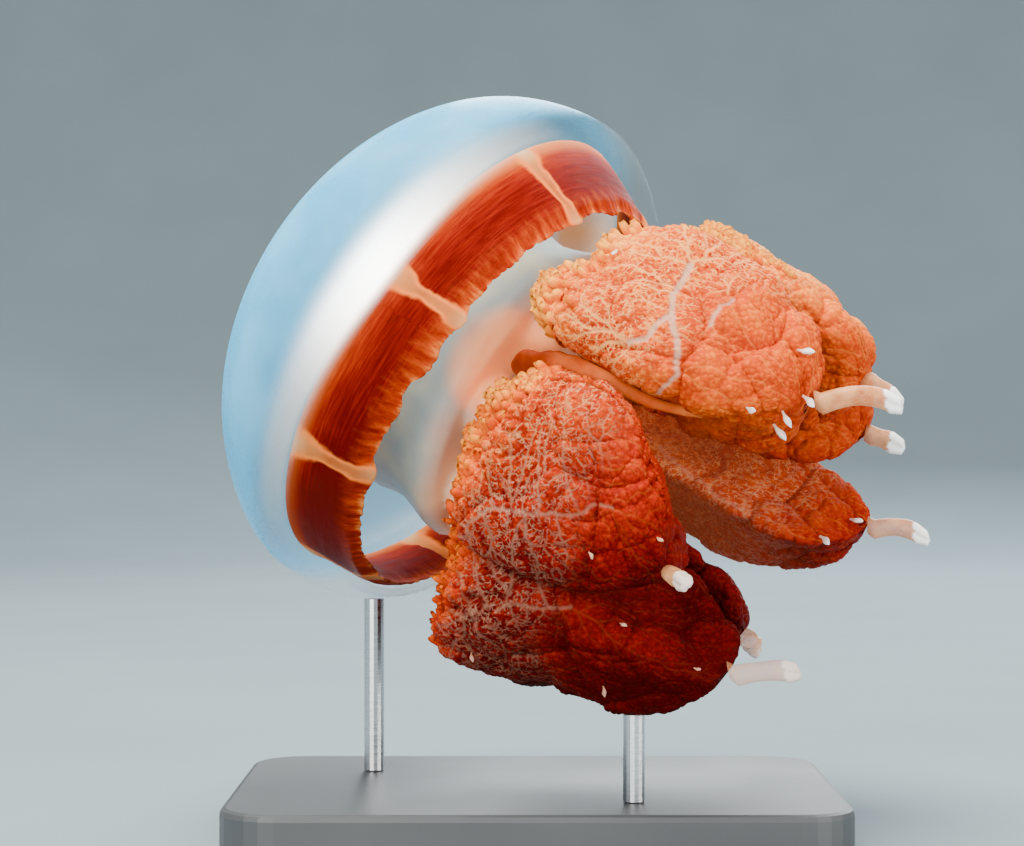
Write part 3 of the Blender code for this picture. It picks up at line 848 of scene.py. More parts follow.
def fan_points(arm, s, alpha):
    """A fan's plain surface: s from the root to the tip, alpha round it (90 deg is outer)."""
    low, high, reach, start, slant, end, tip_rho, turn, taper, wing = arm
    swell = fan_swell(s)
    slim = (1.0 - np.clip((s - 0.3) / 0.7, 0.0, 1.0) ** 1.8) ** 0.667
    breadth = swell + taper * (np.minimum(swell, slim) - swell)
    open_ = smooth(0.0, 0.14, s)
    lobes = 1.0 + WING_LOBE * open_ * np.cos(3.0 * (alpha - math.pi / 6.0))
    scallop = 1.0 + 0.045 * swell * np.sin(TAU * 3.2 * s + low)
    across = np.copysign(abs(np.cos(alpha)) ** 0.72, np.cos(alpha))
    outward = np.copysign(abs(np.sin(alpha)) ** 0.85, np.sin(alpha))
    half = math.radians(high - low) / 2.0 - ARM_CLEAR
    rho = FAN_STALK_RHO + (FAN_RHO + reach - FAN_STALK_RHO) * (1.0 - (1.0 - s) ** 8)
    rho = rho + (tip_rho - FAN_RHO - reach) * s ** 2.5
    depth = ROOT_R + (np.where(outward > 0, FAN_OUT, FAN_IN) - ROOT_R) * open_
    depth = depth * ((1.0 - open_) + open_ * swell)
    rho = rho + outward * depth * lobes * scallop
    rho = rho + wing * np.maximum(outward, 0.0) * open_ * (1.0 - smooth(0.15, 0.55, s))
    stalk = ROOT_R / (FAN_STALK_RHO * half)
    width = stalk + (1.0 - stalk) * open_
    width = width * ((1.0 - open_) + open_ * breadth) / (1.0 + WING_LOBE * open_ * 0.45)
    bend = turn * (1.0 - width) * smooth(0.4, 1.0, s)
    psi = across * width * lobes * (1.0 - 0.25 * np.maximum(-outward, 0.0)) + bend
    psi = np.clip(psi, -1.0, 1.0) * half
    z = FAN_STALK_Z + (end - FAN_STALK_Z) * s
    back = FAN_STALK_Z - start - slant * across
    flare = np.maximum(outward + 0.35, 0.0) * (0.45 + 0.55 * abs(across))
    z = z - (back + WING_BACK * 0.4) * flare * smooth(0.0, 0.05, s) * (1.0 - smooth(0.0, 0.42, s))
    return place(rho, (low + high) / 2.0 + np.degrees(psi), z)


def on_fan(arm, s, way):
    """Points of a fan's plain surface, with the way round it in degrees."""
    return fan_points(arm, np.asarray(s, float), np.radians(way))


def fan_grid(arm, rows, cols):
    """s and alpha values that spread the skin's points evenly, closer on what faces out."""
    fine = np.linspace(0.0, 0.9995, 1600)
    run = np.zeros(len(fine))
    for a in (0.4, 1.0, 1.6, 2.2, 2.8, 4.7):
        path = fan_points(arm, fine, np.full(len(fine), a))
        run[1:] += np.cumsum(np.linalg.norm(np.diff(path, axis=0), axis=1))
    s = np.interp(np.linspace(0.0, run[-1], rows), run, fine)
    turn = np.linspace(0.0, TAU, 721)[:-1]
    ring = np.stack([fan_points(arm, np.full(720, at), turn) for at in (0.35, 0.36)])
    around = np.roll(ring[0], -1, axis=0) - ring[0]
    normal = unit(np.cross(around, ring[1] - ring[0]))
    if (normal * (ring[0] - ring[0].mean(0))).sum() < 0:
        normal = -normal
    facing = np.maximum(-normal[:, 1], 0.0) ** 0.5
    weight = np.linalg.norm(around, axis=1) * (0.34 + 0.75 * facing + 0.4 * np.maximum(np.sin(turn), 0.0))
    total = np.concatenate([[0.0], np.cumsum(weight)])
    alpha = np.interp(np.arange(cols) / cols * total[-1], total, np.append(turn, TAU))
    return s, alpha


def along(arm, places, gap):
    """Points on a fan's plain surface along these places, this far apart, and their share of the way."""
    s, way = np.array(places, float).T
    knots = np.arange(len(s))
    fine = np.linspace(0, len(s) - 1, 40 * len(s))
    line = on_fan(arm, np.interp(fine, knots, s), np.interp(fine, knots, way))
    run = np.concatenate([[0.0], np.cumsum(np.linalg.norm(np.diff(line, axis=0), axis=1))])
    stops = np.arange(0.0, run[-1], gap)
    return np.stack([np.interp(stops, run, line[:, axis]) for axis in range(3)], -1), stops / run[-1]


# ---- oral arms: their canals


def drain(points, cost, roots, targets):
    """Flow through each grid point when every target drains to the roots by its cheapest way."""
    rows, cols = points.shape[:2]
    total = rows * cols
    index = np.arange(total).reshape(rows, cols)
    around, weight = [], []
    for di, dj in ((0, 1), (1, 0), (0, -1), (-1, 0), (1, 1), (1, -1), (-1, 1), (-1, -1)):
        other, other_cost, other_index = (np.roll(grid, (-di, -dj), (0, 1)) for grid in (points, cost, index))
        price = np.linalg.norm(other - points, axis=-1) * (cost + other_cost) / 2.0
        if di:
            price[-1 if di > 0 else 0] = 1e9
        around.append(other_index.ravel())
        weight.append(price.ravel())
    around, weight = np.stack(around, 1).tolist(), np.stack(weight, 1).tolist()
    dist, parent = [1e18] * total, [-1] * total
    heap = [(0.0, int(root)) for root in roots]
    for _, root in heap:
        dist[root] = 0.0
    heapq.heapify(heap)
    while heap:
        far, here = heapq.heappop(heap)
        if far > dist[here]:
            continue
        for other, price in zip(around[here], weight[here]):
            reach = far + price
            if reach < dist[other]:
                dist[other], parent[other] = reach, here
                heapq.heappush(heap, (reach, other))
    flow = [0] * total
    for target in targets:
        here = int(target)
        while here >= 0:
            flow[here] += 1
            here = parent[here]
    return np.array(flow), np.array(parent)


def thinned(points, order, gap):
    """Those of the points, in this order, that keep about this gap to each other."""
    _, keep = np.unique(np.floor(points[order] / gap).astype(np.int64), axis=0, return_index=True)
    return order[np.sort(keep)]


def branches(points, cost, roots, targets, scale, power, cap):
    """Smoothed points and half widths of the canals that drain these targets to the roots."""
    flat = points.reshape(-1, 3)
    flow = np.zeros(len(flat))
    for _ in range(2):
        eased = cost / (1.0 + 0.55 * np.log1p(flow)).reshape(cost.shape)
        flow, parent = drain(points, eased, roots, targets)
    used = np.nonzero(flow > 0)[0]
    used = used[np.argsort(flow[used], kind="stable")]
    inner = used[parent[used] >= 0]
    main = np.arange(len(flat))
    main[parent[inner]] = inner
    where = flat.copy()
    for _ in range(3):
        where[inner] = 0.5 * where[inner] + 0.25 * (where[parent[inner]] + where[main[inner]])
    ends, starts = where[inner], where[parent[inner]]
    wide = scale * np.minimum(flow[inner], cap).astype(float) ** power
    spots = np.concatenate([ends + (starts - ends) * share for share in (0.0, 0.34, 0.67)])
    return spots, np.tile(wide, 3)


def found(points, spots):
    """For each spot, the number of the nearest of the points and the distance to it."""
    tree = kdtree.KDTree(len(points))
    for i, point in enumerate(points.tolist()):
        tree.insert(point, i)
    tree.balance()
    hits = [tree.find(spot)[1:] for spot in spots.reshape(-1, 3).tolist()]
    return np.array([hit[0] for hit in hits]), np.array([hit[1] for hit in hits])


def closest(points, spots):
    return found(points, spots)[0]


def coverage(skin, spots, radii, soft):
    """How far each skin point lies inside a canal, 0 to 1."""
    number, gap = found(spots, skin)
    near = radii[number]
    return (1.0 - smooth(near * 0.7, near + soft, gap)).reshape(skin.shape[:-1])


def trunk_lines(fan):
    """Points along an arm's thick canals, on its skin, and their half widths."""
    spots, radii = [], []
    for half, places in TRUNKS[fan.name]:
        line, run = along(fan.arm, places, 0.25)
        line = line + 0.45 * drift(line, 3.0, fan.salt + 71)
        spots.append(line)
        radii.append(half * (1.0 - 0.6 * run) * (1.0 + 0.5 * wander(line, 2.0, fan.salt + 74)))
    flat = fan.skin.reshape(-1, 3)
    return flat[closest(flat, np.concatenate(spots))], np.concatenate(radii)


def add_canals(fan):
    """Star-shaped canals over the half nearer the root, joined by a few trunks, and a fine net."""
    star_gap, twig_gap, net_gap, trunk_clear, link_reach = 6.5, 1.8, 3.0, 5.0, 22.0
    half = (slice(None, None, 2), slice(None, None, 2))
    small, polyp, mask = fan.skin[half], fan.polyp[half], fan.dense[half].ravel()
    flat = small.reshape(-1, 3)
    order = fan.rng.permutation(len(flat))
    stars = thinned(flat, order[mask[order] > 0.35], star_gap)
    if fan.name in TRUNKS:
        spots, radii = trunk_lines(fan)
        fan.trunk = coverage(fan.skin, spots, radii, 0.60) * fan.trunks
        stem = closest(flat, spots[::3])
        apart = np.linalg.norm(flat[stars][:, None] - spots[None, ::4], axis=-1).min(1)
        stars, apart = stars[apart > trunk_clear], apart[apart > trunk_clear]
        linked = stars[apart < link_reach]
    else:
        fan.trunk = np.zeros(fan.s.shape)
        stem, linked = stars[:1], stars[1:12]
    # canals from the trunk to each star, then twigs from both
    spots, radii = branches(small, 1.0 + 2.0 * polyp, stem, linked, 0.17, 0.40, 8)
    links = coverage(fan.skin, spots, radii, 0.20)
    roots = np.concatenate([stars, stem, closest(flat, spots[::9])])
    targets = thinned(flat, order[mask[order] > 0.12], twig_gap)
    spots, radii = branches(small, 1.0 + 6.0 * polyp ** 1.2, roots, targets, 0.080, 0.20, 25)
    twigs = coverage(fan.skin, spots, radii, 0.15)
    fan.canal = np.maximum(0.8 * twigs, fan.links * links) * smooth(0.10, 0.45, fan.dense)
    targets = thinned(flat, order, net_gap)
    spots, radii = branches(small, 1.0 + 2.5 * polyp, roots, targets, 0.070, 0.26, 60)
    net = coverage(fan.skin, spots, radii, 0.20)
    fan.net = net * (1.0 - 0.8 * fan.frill) * (1.0 - 0.7 * fan.canal)


# ---- oral arms: their skins


def arm_look(name, dark, glow):
    """Frilled flesh with its canals; dark tells how far the flesh between them is darkened and how strong the
    painted shade between the polyps is, and glow how strong the painted glow is.
    """
    look = Look(name, (0.7, 0.2, 0.06), 0.55, Subsurface_Weight=0.15, Subsurface_Scale=0.002,
                Subsurface_Radius=(1.0, 0.2, 0.03), Specular_IOR_Level=0.03)
    tone, polyp, cell, canal = look.values("tone", "polyp", "cell", "canal")
    crease, net, trunk, dense = look.values("crease", "net", "trunk", "dense")
    grain, patch, speck = look.noise(1500.0, 3.0, 0.6), look.noise(95.0), look.noise(650.0, 2.0)
    where = look.here()
    bead = look.node("TexVoronoi", "Distance", {"feature": "SMOOTH_F1"}, Vector=where, Scale=1150.0,
                     Smoothness=0.5)
    # painted shade and light: the flesh is darker in the creases between lobes and in the hollows between
    # polyps and beads, and lighter on the lobes' upper rims and the finger lobes' tips
    level = tone + (patch - 0.5) * 0.30 + (cell - 0.5) * 0.07 + (bead - 0.45) * 0.13
    level = (level - (crease - 0.5) * 0.30 - (polyp - 0.5) * 0.10).clamped()
    # the finest twigs of the canals, and the darker flesh they leave between them
    moved = look.node("VectorMath", 0, {"operation": "MULTIPLY_ADD"}, i1=(0.0020, 0.0020, 0.0020),
                      i0=look.noise(480.0, 2.0, 0.5, where, "Color"), i2=where)
    edge = look.node("TexVoronoi", "Distance", {"feature": "DISTANCE_TO_EDGE"}, Vector=moved, Scale=700.0)
    middle = look.node("TexVoronoi", "Distance", Vector=moved, Scale=700.0)
    lace = look.remap(edge, 0.03, 0.15, 1.0, 0.0) * look.remap(speck, 0.44, 0.58)
    lace = (lace * (dense * 0.68)).clamped()
    pit = look.remap(middle, 0.20, 0.50, 1.0, 0.0) * (dense * (0.85 * dark)).clamped()
    # painted shade: the hollows between the polyps are darkened, broken up by noise
    gap = look.remap(polyp - speck * 0.35, 0.0, 0.42, 1.0, 0.0) * (dense * (0.3 * dark) + 0.16 * dark)
    flesh = look.ramp(level, (0.0, 0.93, 0.34, 0.030), (0.15, 0.77, 0.150, 0.004),
                      (0.30, 0.58, 0.068, 0.0015), (0.45, 0.42, 0.032, 0.001),
                      (0.62, 0.29, 0.010, 0.001), (0.80, 0.15, 0.002, 0.0006),
                      (1.0, 0.060, 0.0004, 0.0002))
    low = look.mix(gap.most(pit), flesh, look.mix(1.0, flesh, (0.50, 0.20, 0.16), "MULTIPLY"))
    thread = look.ramp(tone, (0.0, 0.93, 0.36, 0.05), (0.45, 0.74, 0.17, 0.02), (1.0, 0.28, 0.02, 0.005))
    webbed = look.mix(net * look.remap(tone, 0.5, 0.85, 0.48, 0.14), low, thread)
    white = look.ramp(tone, (0.0, 0.95, 0.58, 0.19), (0.35, 0.84, 0.36, 0.10), (0.62, 0.38, 0.21, 0.13),
                      (1.0, 0.20, 0.08, 0.05))
    starred = look.mix(lace.most(canal * 0.74), webbed, white)
    pale = look.ramp(tone, (0.0, 0.58, 0.46, 0.34), (0.5, 0.46, 0.28, 0.19), (1.0, 0.28, 0.11, 0.06))
    colour = look.mix(trunk * 0.66, starred, pale)
    if glow:
        # painted glow: the lobe emits light, standing in for daylight that comes through the shaded lobe from
        # behind
        look.set("Emission Color", (1.0, 0.20, 0.08))
        look.set("Emission Strength", dense * glow)
    return look.done(colour, look.swing(grain, 0.5, 0.66), grain * 0.4 - bead, 0.35, 0.0003)


def plain_arm(name):
    """An arm's traits, its own salt and random draws, and the plain fan its skin starts from."""
    salt = 100 + 17 * list(ARMS).index(name)
    fan = SimpleNamespace(name=name, arm=ARMS[name], salt=salt, rng=np.random.default_rng(salt),
                          **{**USUAL, **SPECIAL.get(name, {})})
    fan.s, fan.alpha = np.meshgrid(*fan_grid(fan.arm, *SKINS[name][:2]), indexing="ij")
    fan.base = fan_points(fan.arm, fan.s, fan.alpha)
    normal = grid_normals(fan.base)
    fan.flip = (normal * (fan.base - fan.base.mean(1, keepdims=True))).sum() < 0
    fan.normal = -normal if fan.flip else normal
    fan.ease = smooth(0.0, 0.05, fan.s) * (1.0 - smooth(0.985, 1.0, fan.s))
    return fan


def lobe_middles(fan):
    """Middles of the great lobes: those of LOBES, then others wherever these leave room."""
    room = 13.0
    heads = LOBES.get(fan.name, [])
    seeds = on_fan(fan.arm, [head[0] for head in heads], [head[1] for head in heads])
    for at in (0.12, 0.36, 0.62, 0.88):
        for way in (35, 85, 140, 200, 270, 335):
            spot = on_fan(fan.arm, at + fan.rng.uniform(-0.07, 0.07), way + fan.rng.uniform(-14, 14))
            if not len(seeds) or np.linalg.norm(seeds - spot, axis=1).min() > room:
                seeds = np.concatenate([seeds, [spot]])
    return seeds


def lobe_height(fan):
    """Height of lobes of three sizes, each one's upper rim standing proud of the one above it."""
    base, salt = fan.base, fan.salt
    offset = (base + 1.6 * drift(base, 9.0, salt + 1))[..., None, :] - lobe_middles(fan)
    away = np.linalg.norm(offset, axis=-1)
    nearest = away.argmin(axis=-1)[..., None]
    rise = np.take_along_axis(offset @ LIFT, nearest, -1)[..., 0]
    away.sort(axis=-1)
    big = 1.0 - (away[..., 0] / away[..., 1]) ** 3.0
    warp = drift(base, 4.0, salt + 4)
    mid, _, lean = domes(base + 0.9 * warp, 9.0, salt + 20, 2.8)
    lump, _, dip = domes(base + 0.8 * warp, 4.2, salt + 40, 2.4)
    rise, lean = np.clip(rise / 9.0, -1.0, 1.0), np.clip(lean * 1.6, -1.0, 1.0)
    stretched = base - 0.5 * (base @ ORAL)[..., None] * ORAL
    fan.shingle = domes(stretched + 0.5 * warp, 3.8, salt + 50, 2.4)[0]
    # crease holds painted shade and light for the flesh: low in the creases between lobes, high on their
    # middles and upper sides
    fan.crease = 0.26 * big ** 0.6 + 0.25 * mid ** 0.6 + 0.22 * (0.5 + 0.5 * rise) + 0.23 * (0.5 + 0.5 * lean)
    calm, frill = fan.calm, fan.frill
    height = -2.1 + calm * (1.9 * big ** 0.6 + 0.8 * mid ** 0.8) + 1.4 * (1.0 - calm) + 0.8 * frill * big
    height = height + 0.7 * rise * big ** 0.5 + calm * (0.4 * lean * mid ** 0.5 + 0.2 * dip * lump ** 0.5)
    return height + 0.25 * lump + 1.5 * frill * fan.shingle - 1.2 * frill


def add_shares(fan):
    """Where the arm is dense with canals, where it is calm and where its root frills."""
    s, rise = fan.s, np.sin(fan.alpha)
    edge = s + 0.12 * wander(fan.base, 14.0, fan.salt + 9)
    dense = 1.0 - smooth(fan.reach - 0.20, fan.reach + 0.16, edge)
    fan.dense = fan.crowd * (dense * smooth(-0.9, 0.2, rise))
    if fan.name == "rear":
        fan.dense = 1.2 * (1.0 - smooth(0.50, 0.95, s))
    fan.calm = 0.6 if fan.name == "front_lower" else 1.0 - 0.5 * fan.dense
    fan.frill = (1.0 - smooth(0.10, 0.34, s)) * smooth(-0.6, 0.2, rise)


def raise_skin(fan, height):
    """The skin at this height over the plain fan, less its notches, and its normals and polyps."""
    fan.cut = np.zeros(fan.s.shape)
    for at, way, depth, wide in NOTCHES.get(fan.name, []):
        away = np.linalg.norm(fan.base - on_fan(fan.arm, at, way), axis=-1)
        fan.cut = np.maximum(fan.cut, depth * hump(away, 0.0, wide))
    fan.skin = fan.base + fan.normal * ((height - fan.cut) * fan.ease)[..., None]
    fan.normal = grid_normals(fan.skin) * (-1.0 if fan.flip else 1.0)
    fan.polyp, fan.cell, _ = domes(fan.skin, 1.45, fan.salt + 60, 1.7)
    fan.dense = fan.dense * (1.0 - 0.75 * fan.frill) * smooth(0.02, 0.06, fan.s)


def add_relief(fan):
    """Polyps that stand up between the canals."""
    covered = np.maximum(fan.canal, fan.trunk)
    relief = 0.32 * fan.polyp * (1.0 - covered) + 0.06 * fan.canal - 0.20 * fan.trunk
    fan.skin = fan.skin + fan.normal * (relief * fan.ease)[..., None]


def add_tone(fan):
    """Redness: along the arm and down it, partly painted shade; painted shade on its underside and in its
    deep notches; lighter in its frills, with painted light on their raised scales.
    """
    root_tone, tip_tone, share = SKINS[fan.name][2:]
    height = fan.skin[..., 2]
    # redder lower down the arm: partly the flesh's own redness and partly painted shade
    drop = ((height.max() - height) / np.ptp(height)) ** 1.2
    # painted shade: the underside, facing down, is made redder
    under = smooth(0.3, -0.9, fan.normal[..., 2])
    spot = smooth(0.30, 0.75, fan.polyp) * (fan.cell > 0.5) * fan.dense
    tone = root_tone + (tip_tone - root_tone) * (share * fan.s + (1.0 - share) * drop)
    # painted shade and light: frills lighter on their raised scales and darker between them
    tone = tone + fan.under * under - 0.04 * fan.frill - 0.16 * fan.frill * fan.shingle + 0.12 * spot
    # painted shade: the deepest notches are made redder
    fan.tone = tone + 0.10 * np.maximum(fan.cut - 5.5, 0.0)


def finger_feet(fan):
    """Numbers of the skin points that bear finger lobes, on the root's edge and the crests, and sizes."""
    near_count, far_count = 230, 140
    count = near_count if fan.name in LOBES else far_count
    edge = hump(fan.s, 0.06, 0.07) * smooth(-0.55, 0.1, np.sin(fan.alpha))
    edge = edge * (0.3 + 0.7 * abs(np.cos(fan.alpha)) ** 0.7) * (1.0 - smooth(5.2, 6.5, fan.cut))
    feet = [fan.rng.choice(edge.size, count, replace=False, p=(edge / edge.sum()).ravel())]
    sizes = [np.full(count, fan.finger)]
    for gap, size, places in CRESTS.get(fan.name, []):
        feet.append(closest(fan.skin.reshape(-1, 3), along(fan.arm, places, gap)[0]))
        sizes.append(np.full(len(feet[-1]), size))
    return np.concatenate(feet), np.concatenate(sizes)


def fingers(feet, outward, rng, size):
    """Small blunt mouth lobes leaning over the feet: points, triangles, height and bake map places."""
    rings, sides = 6, 7
    map_cols, map_low, map_step, map_r = 64, 0.91, 0.0155, 0.0148
    t = np.linspace(0.0, math.pi, rings + 1)[1:-1, None]
    turn = round_turn(sides)
    wide = np.sin(t) ** 0.5
    shape = np.stack([wide * np.cos(turn), wide * np.sin(turn), -np.cos(t) + 0.0 * turn], -1).reshape(-1, 3)
    foot_pole = len(shape)
    shape = np.concatenate([shape, [[0, 0, -1.0], [0, 0, 1.0]]])
    quads, *caps = tube_faces(rings - 1, sides)
    tris = np.concatenate([quads[:, [0, 1, 2]], quads[:, [0, 2, 3]], *caps])
    # each lobe is a disc on the bake map, its tip in the middle and its foot's pole at the rim
    ways = np.stack([np.cos(turn), np.sin(turn)], -1)[np.arange(len(shape)) % sides]
    disc = (0.23 * (1.0 - shape[:, 2:]) * ways)[tris]
    foot_fan = (tris == foot_pole).any(1)
    disc[foot_fan, 1] = 0.575 * (disc[foot_fan, 0] + disc[foot_fan, 2])
    points, faces = [], []
    for k, (foot, out) in enumerate(zip(feet, outward)):
        way = unit(out * rng.uniform(0.0, 0.5) + LIFT + rng.normal(0.0, 0.30, 3))
        side = unit(np.cross(way, rng.normal(0.0, 1.0, 3)))
        broad, long_ = size[k] * rng.uniform(0.75, 1.45), size[k] * rng.uniform(1.6, 2.9)
        local = shape * (1.0 + 0.14 * np.sin(shape[:, [1, 2, 0]] * 5.0 + k))
        round_it = local[:, :1] * side + local[:, 1:2] * np.cross(way, side)
        points.append(foot + way * (long_ * 0.30) + (round_it * broad + local[:, 2:] * way * long_))
        faces.append(tris + k * len(shape))
    high = np.tile(np.clip(shape[:, 2] * 0.5 + 0.5, 0, 1), len(feet))
    k = np.arange(len(feet))
    middles = np.stack([(k % map_cols + 0.5) / map_cols, map_low + map_step * (k // map_cols)], -1)
    return np.concatenate(points), np.concatenate(faces), high, middles[:, None, None] + map_r * disc


def build_arm(name):
    """One arm's skin with its finger lobes, from the plain fan to the finished values."""
    fan = plain_arm(name)
    add_shares(fan)
    raise_skin(fan, lobe_height(fan))
    add_canals(fan)
    add_relief(fan)
    add_tone(fan)
    flat = fan.skin.reshape(-1, 3)
    feet, sizes = finger_feet(fan)
    more, tris, tip, lobe_spread = fingers(flat[feet], fan.normal.reshape(-1, 3)[feet], fan.rng, sizes)
    points = np.concatenate([flat, [fan.skin[0].mean(0), on_fan(fan.arm, 1.0, 0.0)], more])
    rows, cols = fan.s.shape
    # the grid takes the bake map up to grid_top, the far pole's teeth and the lobes what is above
    edge, grid_top, teeth_top = 0.01, 0.89, 0.90
    faces = tube_faces(rows, cols)
    spread = [grid_spread(rows, cols, edge, grid_top), cap_spread(cols, edge, 0.0)[:, ::-1],
              cap_spread(cols, grid_top, teeth_top)]
    if not fan.flip:
        faces, spread = ([group[:, ::-1] for group in groups] for groups in (faces, spread))
    faces.insert(2, tris + len(flat) + 2)
    spread.insert(2, lobe_spread)
    spread = np.concatenate([group.reshape(-1, 2) for group in spread])
    feet = np.repeat(feet, len(more) // len(feet))
    # finger lobes are lighter towards their tips; their crease and polyp values give painted shade at their
    # feet and painted light at their tips
    lobes = {"tone": fan.tone.ravel()[feet] + (0.02 - 0.14 * tip), "cell": fan.cell.ravel()[feet],
             "polyp": 0.3 + 0.7 * tip, "crease": 0.25 + 0.5 * tip}
    values = {}
    for key in ("tone", "polyp", "cell", "canal", "crease", "net", "trunk", "dense"):
        array = getattr(fan, key)
        ends = [array[0].mean(), array[-1].mean()]
        values[key] = np.concatenate([array.ravel(), ends, lobes.get(key, np.zeros(len(tip)))])
    look = arm_look(f"arm_{name}_frills", fan.dark, fan.glow)
    piece = new_piece(f"arm_{name}_skin", points, faces, look, values, spread)
    dress(piece, f"arm_{name}_frills", f"arm_{name}")


# ---- clubs and filaments


def club_look():
    """Clear rosy tube with strands in it, and an opaque white end."""
    look = Look("club_jelly", (0.85, 0.82, 0.80), 0.25, IOR=1.36, Specular_IOR_Level=0.25)
    white, thin = look.values("white", "thin")
    strand = look.noise(260.0)
    tube = look.mix(look.remap(strand, 0.25, 0.75), (0.70, 0.24, 0.08), (0.82, 0.40, 0.18))
    colour = look.mix(white, tube, (0.98, 0.97, 0.95))
    edge = look.node("LayerWeight", "Facing", Blend=0.4)
    clear = (edge * 0.35 + look.swing(strand, 0.38, 0.62)) * (1.0 - thin * 0.5)
    look.set("Alpha", clear.most(white).clamped())
    return look.done(colour, look.swing(strand, 0.2, 0.35), strand, 0.1, 0.0004)


def build_club(name, look):
    """Slim tube from an arm's tip, bending down, with an opaque three-edged end."""
    length, dip, nearing = CLUBS[name]
    girth = CLUB_R * (0.76 if name == "front" else 0.92)
    strength = {"front": 0.7, "front_lower": 0.6, "rear_lower": 0.4}.get(name, 1.0)
    droop, arch = 0.16, 0.08 if name in ("front_upper", "rear") else 0.0
    white_end, sides = 4.6, 36
    lean = heading(math.radians(dip), math.radians(nearing))
    base = on_fan(ARMS[name], 1.0, 0.0)
    base = base + ORAL * GAP + lean * CLUB_R * 1.5 * np.linalg.norm(np.cross(lean, ORAL))
    sag = np.array((0.0, 0.0, -1.0))
    side = unit(np.cross(lean, sag))
    top = np.cross(side, lean)
    turn = round_turn(sides)
    ragged = 0.12 * np.sin(5.0 * turn + 1.0) + 0.08 * np.sin(11.0 * turn)
    tip = min(white_end / length, 0.6)
    neck = 1.0 - tip
    stops = np.concatenate([np.linspace(0.0, neck, 22)[:-1], neck + tip * np.linspace(0, 0.985, 20)])
    rings, white = [], []
    for t in stops:
        head = float(np.clip((t - neck) / tip, 0.0, 1.0))
        centre = base + lean * length * t + sag * length * (droop * t * t - arch * math.sin(math.pi * t))
        wide = 0.90 - 0.10 * math.sin(math.pi * min(t / max(neck, 0.1), 1.0))
        rounding = 0.725 * (1.0 - ((head - 0.8) / 0.2) ** 2 * 0.98)
        wide *= 1.0 - 0.5 * max(head - 0.25, 0.0) if head < 0.8 else rounding
        edge = 0.20 * float(smooth(0.0, 0.3, head))
        corner = 1.0 + edge * np.cos(3.0 * turn + 0.6) + 0.06 * head * np.cos(7.0 * turn + 2.0)
        rings.append(hoop(centre, side, top, turn, girth * wide * corner))
        white.append(strength * smooth(-0.02, 0.10, head + ragged * 0.6 - 0.08) * (head > 0))
    start, end = base - ORAL * 2.0, base + lean * length + sag * length * droop
    rings.insert(0, start + (rings[0] - base) * 0.9)
    white.insert(0, white[0])
    points = np.concatenate([np.concatenate(rings), [start, end]])
    values = {"white": np.append(white, [0.0, 1.0]),
              "thin": np.full(len(points), float(name in ("front_lower", "lower")))}
    piece = new_piece(f"club_{name}_skin", points, tube_faces(len(rings), sides), look, values)
    face_out(piece)
    dress(piece, "club_jelly", f"club_{name}")


def filament_line(k, arm, s, way):
    """A filament's foot, the way out of the skin there, its lean and the side it bends to."""
    at = on_fan(arm, s, way)
    out = np.cross(on_fan(arm, s + 0.01, way) - at, on_fan(arm, s, way + 4) - at)
    middle = on_fan(arm, (s, s), (0.0, 180.0)).mean(0)
    out *= math.copysign(1.0, out @ (at - middle)) / np.linalg.norm(out)
    loose = np.array((math.sin(2.1 * k), -0.3, -0.8 + 0.5 * math.cos(1.7 * k)))
    lean = unit(0.55 * out + 0.65 * ORAL + 0.35 * loose)
    return at, out, lean, unit(np.cross(lean, out + 0.3 * ORAL))


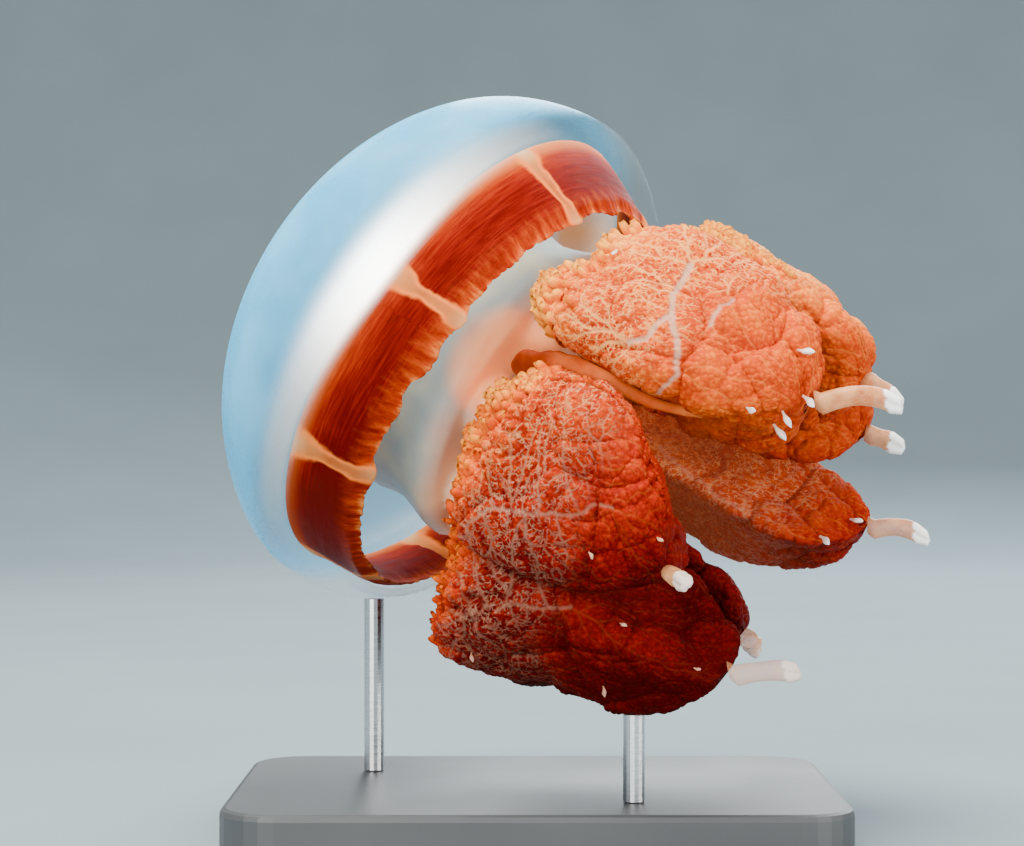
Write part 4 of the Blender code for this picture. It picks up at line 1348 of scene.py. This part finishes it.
def build_filaments(look):
    """The small pale stinging filaments that hang between the mouth lobes."""
    sides, rings = 10, 12
    turn = round_turn(sides)
    total = len(FILAMENTS) * rings * sides
    points, poles, white, tubes = [], [], [], []
    for k, (name, s, way, length) in enumerate(FILAMENTS):
        rosy = name in ("front", "front_lower")
        length = length * (0.66 if rosy else 0.9)
        at, out, lean, side = filament_line(k, ARMS[name], s, way)
        top = 0.7 * np.cross(side, lean)
        for t in np.linspace(0.0, 1.0, rings):
            wide = length * (0.10 + 0.15 * smooth(0.15, 0.60, t)) * (1.0 - (t - 0.6) ** 2 * 6.0 * (t > 0.6))
            bend = 0.30 * length * (t * t) * (1.0 if k % 2 else -1.0)
            centre = at + lean * length * (t - 0.12) + out * 0.4 + side * bend
            corner = 1.0 + 0.26 * smooth(0.3, 0.7, t) * np.cos(3.0 * turn + k)
            points.append(hoop(centre, side, top, turn, wide * corner))
            white.append(np.full(sides, (0.25 + 0.7 * t) * (0.3 if rosy else 1.0)))
        poles += [points[-rings].mean(0), points[-1].mean(0)]
        tubes.append(tube_faces(rings, sides, k * rings * sides, total + 2 * k))
    quads = np.concatenate([tube[0] for tube in tubes])
    caps = np.concatenate([cap for tube in tubes for cap in tube[1:]])
    values = {"white": np.append(white, [0.3, 0.95] * len(FILAMENTS))}
    piece = new_piece("filaments_skin", np.concatenate([*points, poles]), [quads, caps], look, values)
    face_out(piece)
    dress(piece, "club_jelly")


# ---- stand


def paint_look():
    """Matt dark grey paint."""
    look = Look("stand_paint", (0.05, 0.052, 0.056), 0.45, Specular_IOR_Level=0.45)
    haze = look.noise(14.0)
    grey = look.ramp(haze, (0.3, 0.045, 0.048, 0.052), (0.7, 0.062, 0.066, 0.071))
    return look.done(grey, look.swing(haze, 0.40, 0.52), look.noise(1400.0, 2.0), 0.10, 0.0002)


def steel_look():
    """Steel brushed round the rods."""
    look = Look("rod_steel", (0.60, 0.61, 0.63), 0.3, Metallic=1.0)
    where = look.node("Mapping", 0, Vector=look.here(), Scale=(1.0, 1.0, 60.0))
    brush = look.noise(90.0, 4.0, 0.6, where)
    grey = look.ramp(brush, (0.3, 0.50, 0.51, 0.53), (0.7, 0.68, 0.69, 0.71))
    return look.done(grey, look.swing(brush, 0.24, 0.40), brush, 0.08, 0.0001)


def dress_stand():
    """The stand keeps its CAD solids and takes paint and steel."""
    steel = steel_look()
    for node, look in (("stand_base", paint_look()), ("stand_rod_bell", steel), ("stand_rod_arms", steel)):
        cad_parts[node].data.materials.clear()
        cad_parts[node].data.materials.append(look)


set_camera()
set_floor()
set_lights()
build_bell()
build_ring()
build_column()
build_fold()
for arm_name in ARMS:
    build_arm(arm_name)
jelly_tube = club_look()
for arm_name in CLUBS:
    build_club(arm_name, jelly_tube)
build_filaments(jelly_tube)
dress_stand()
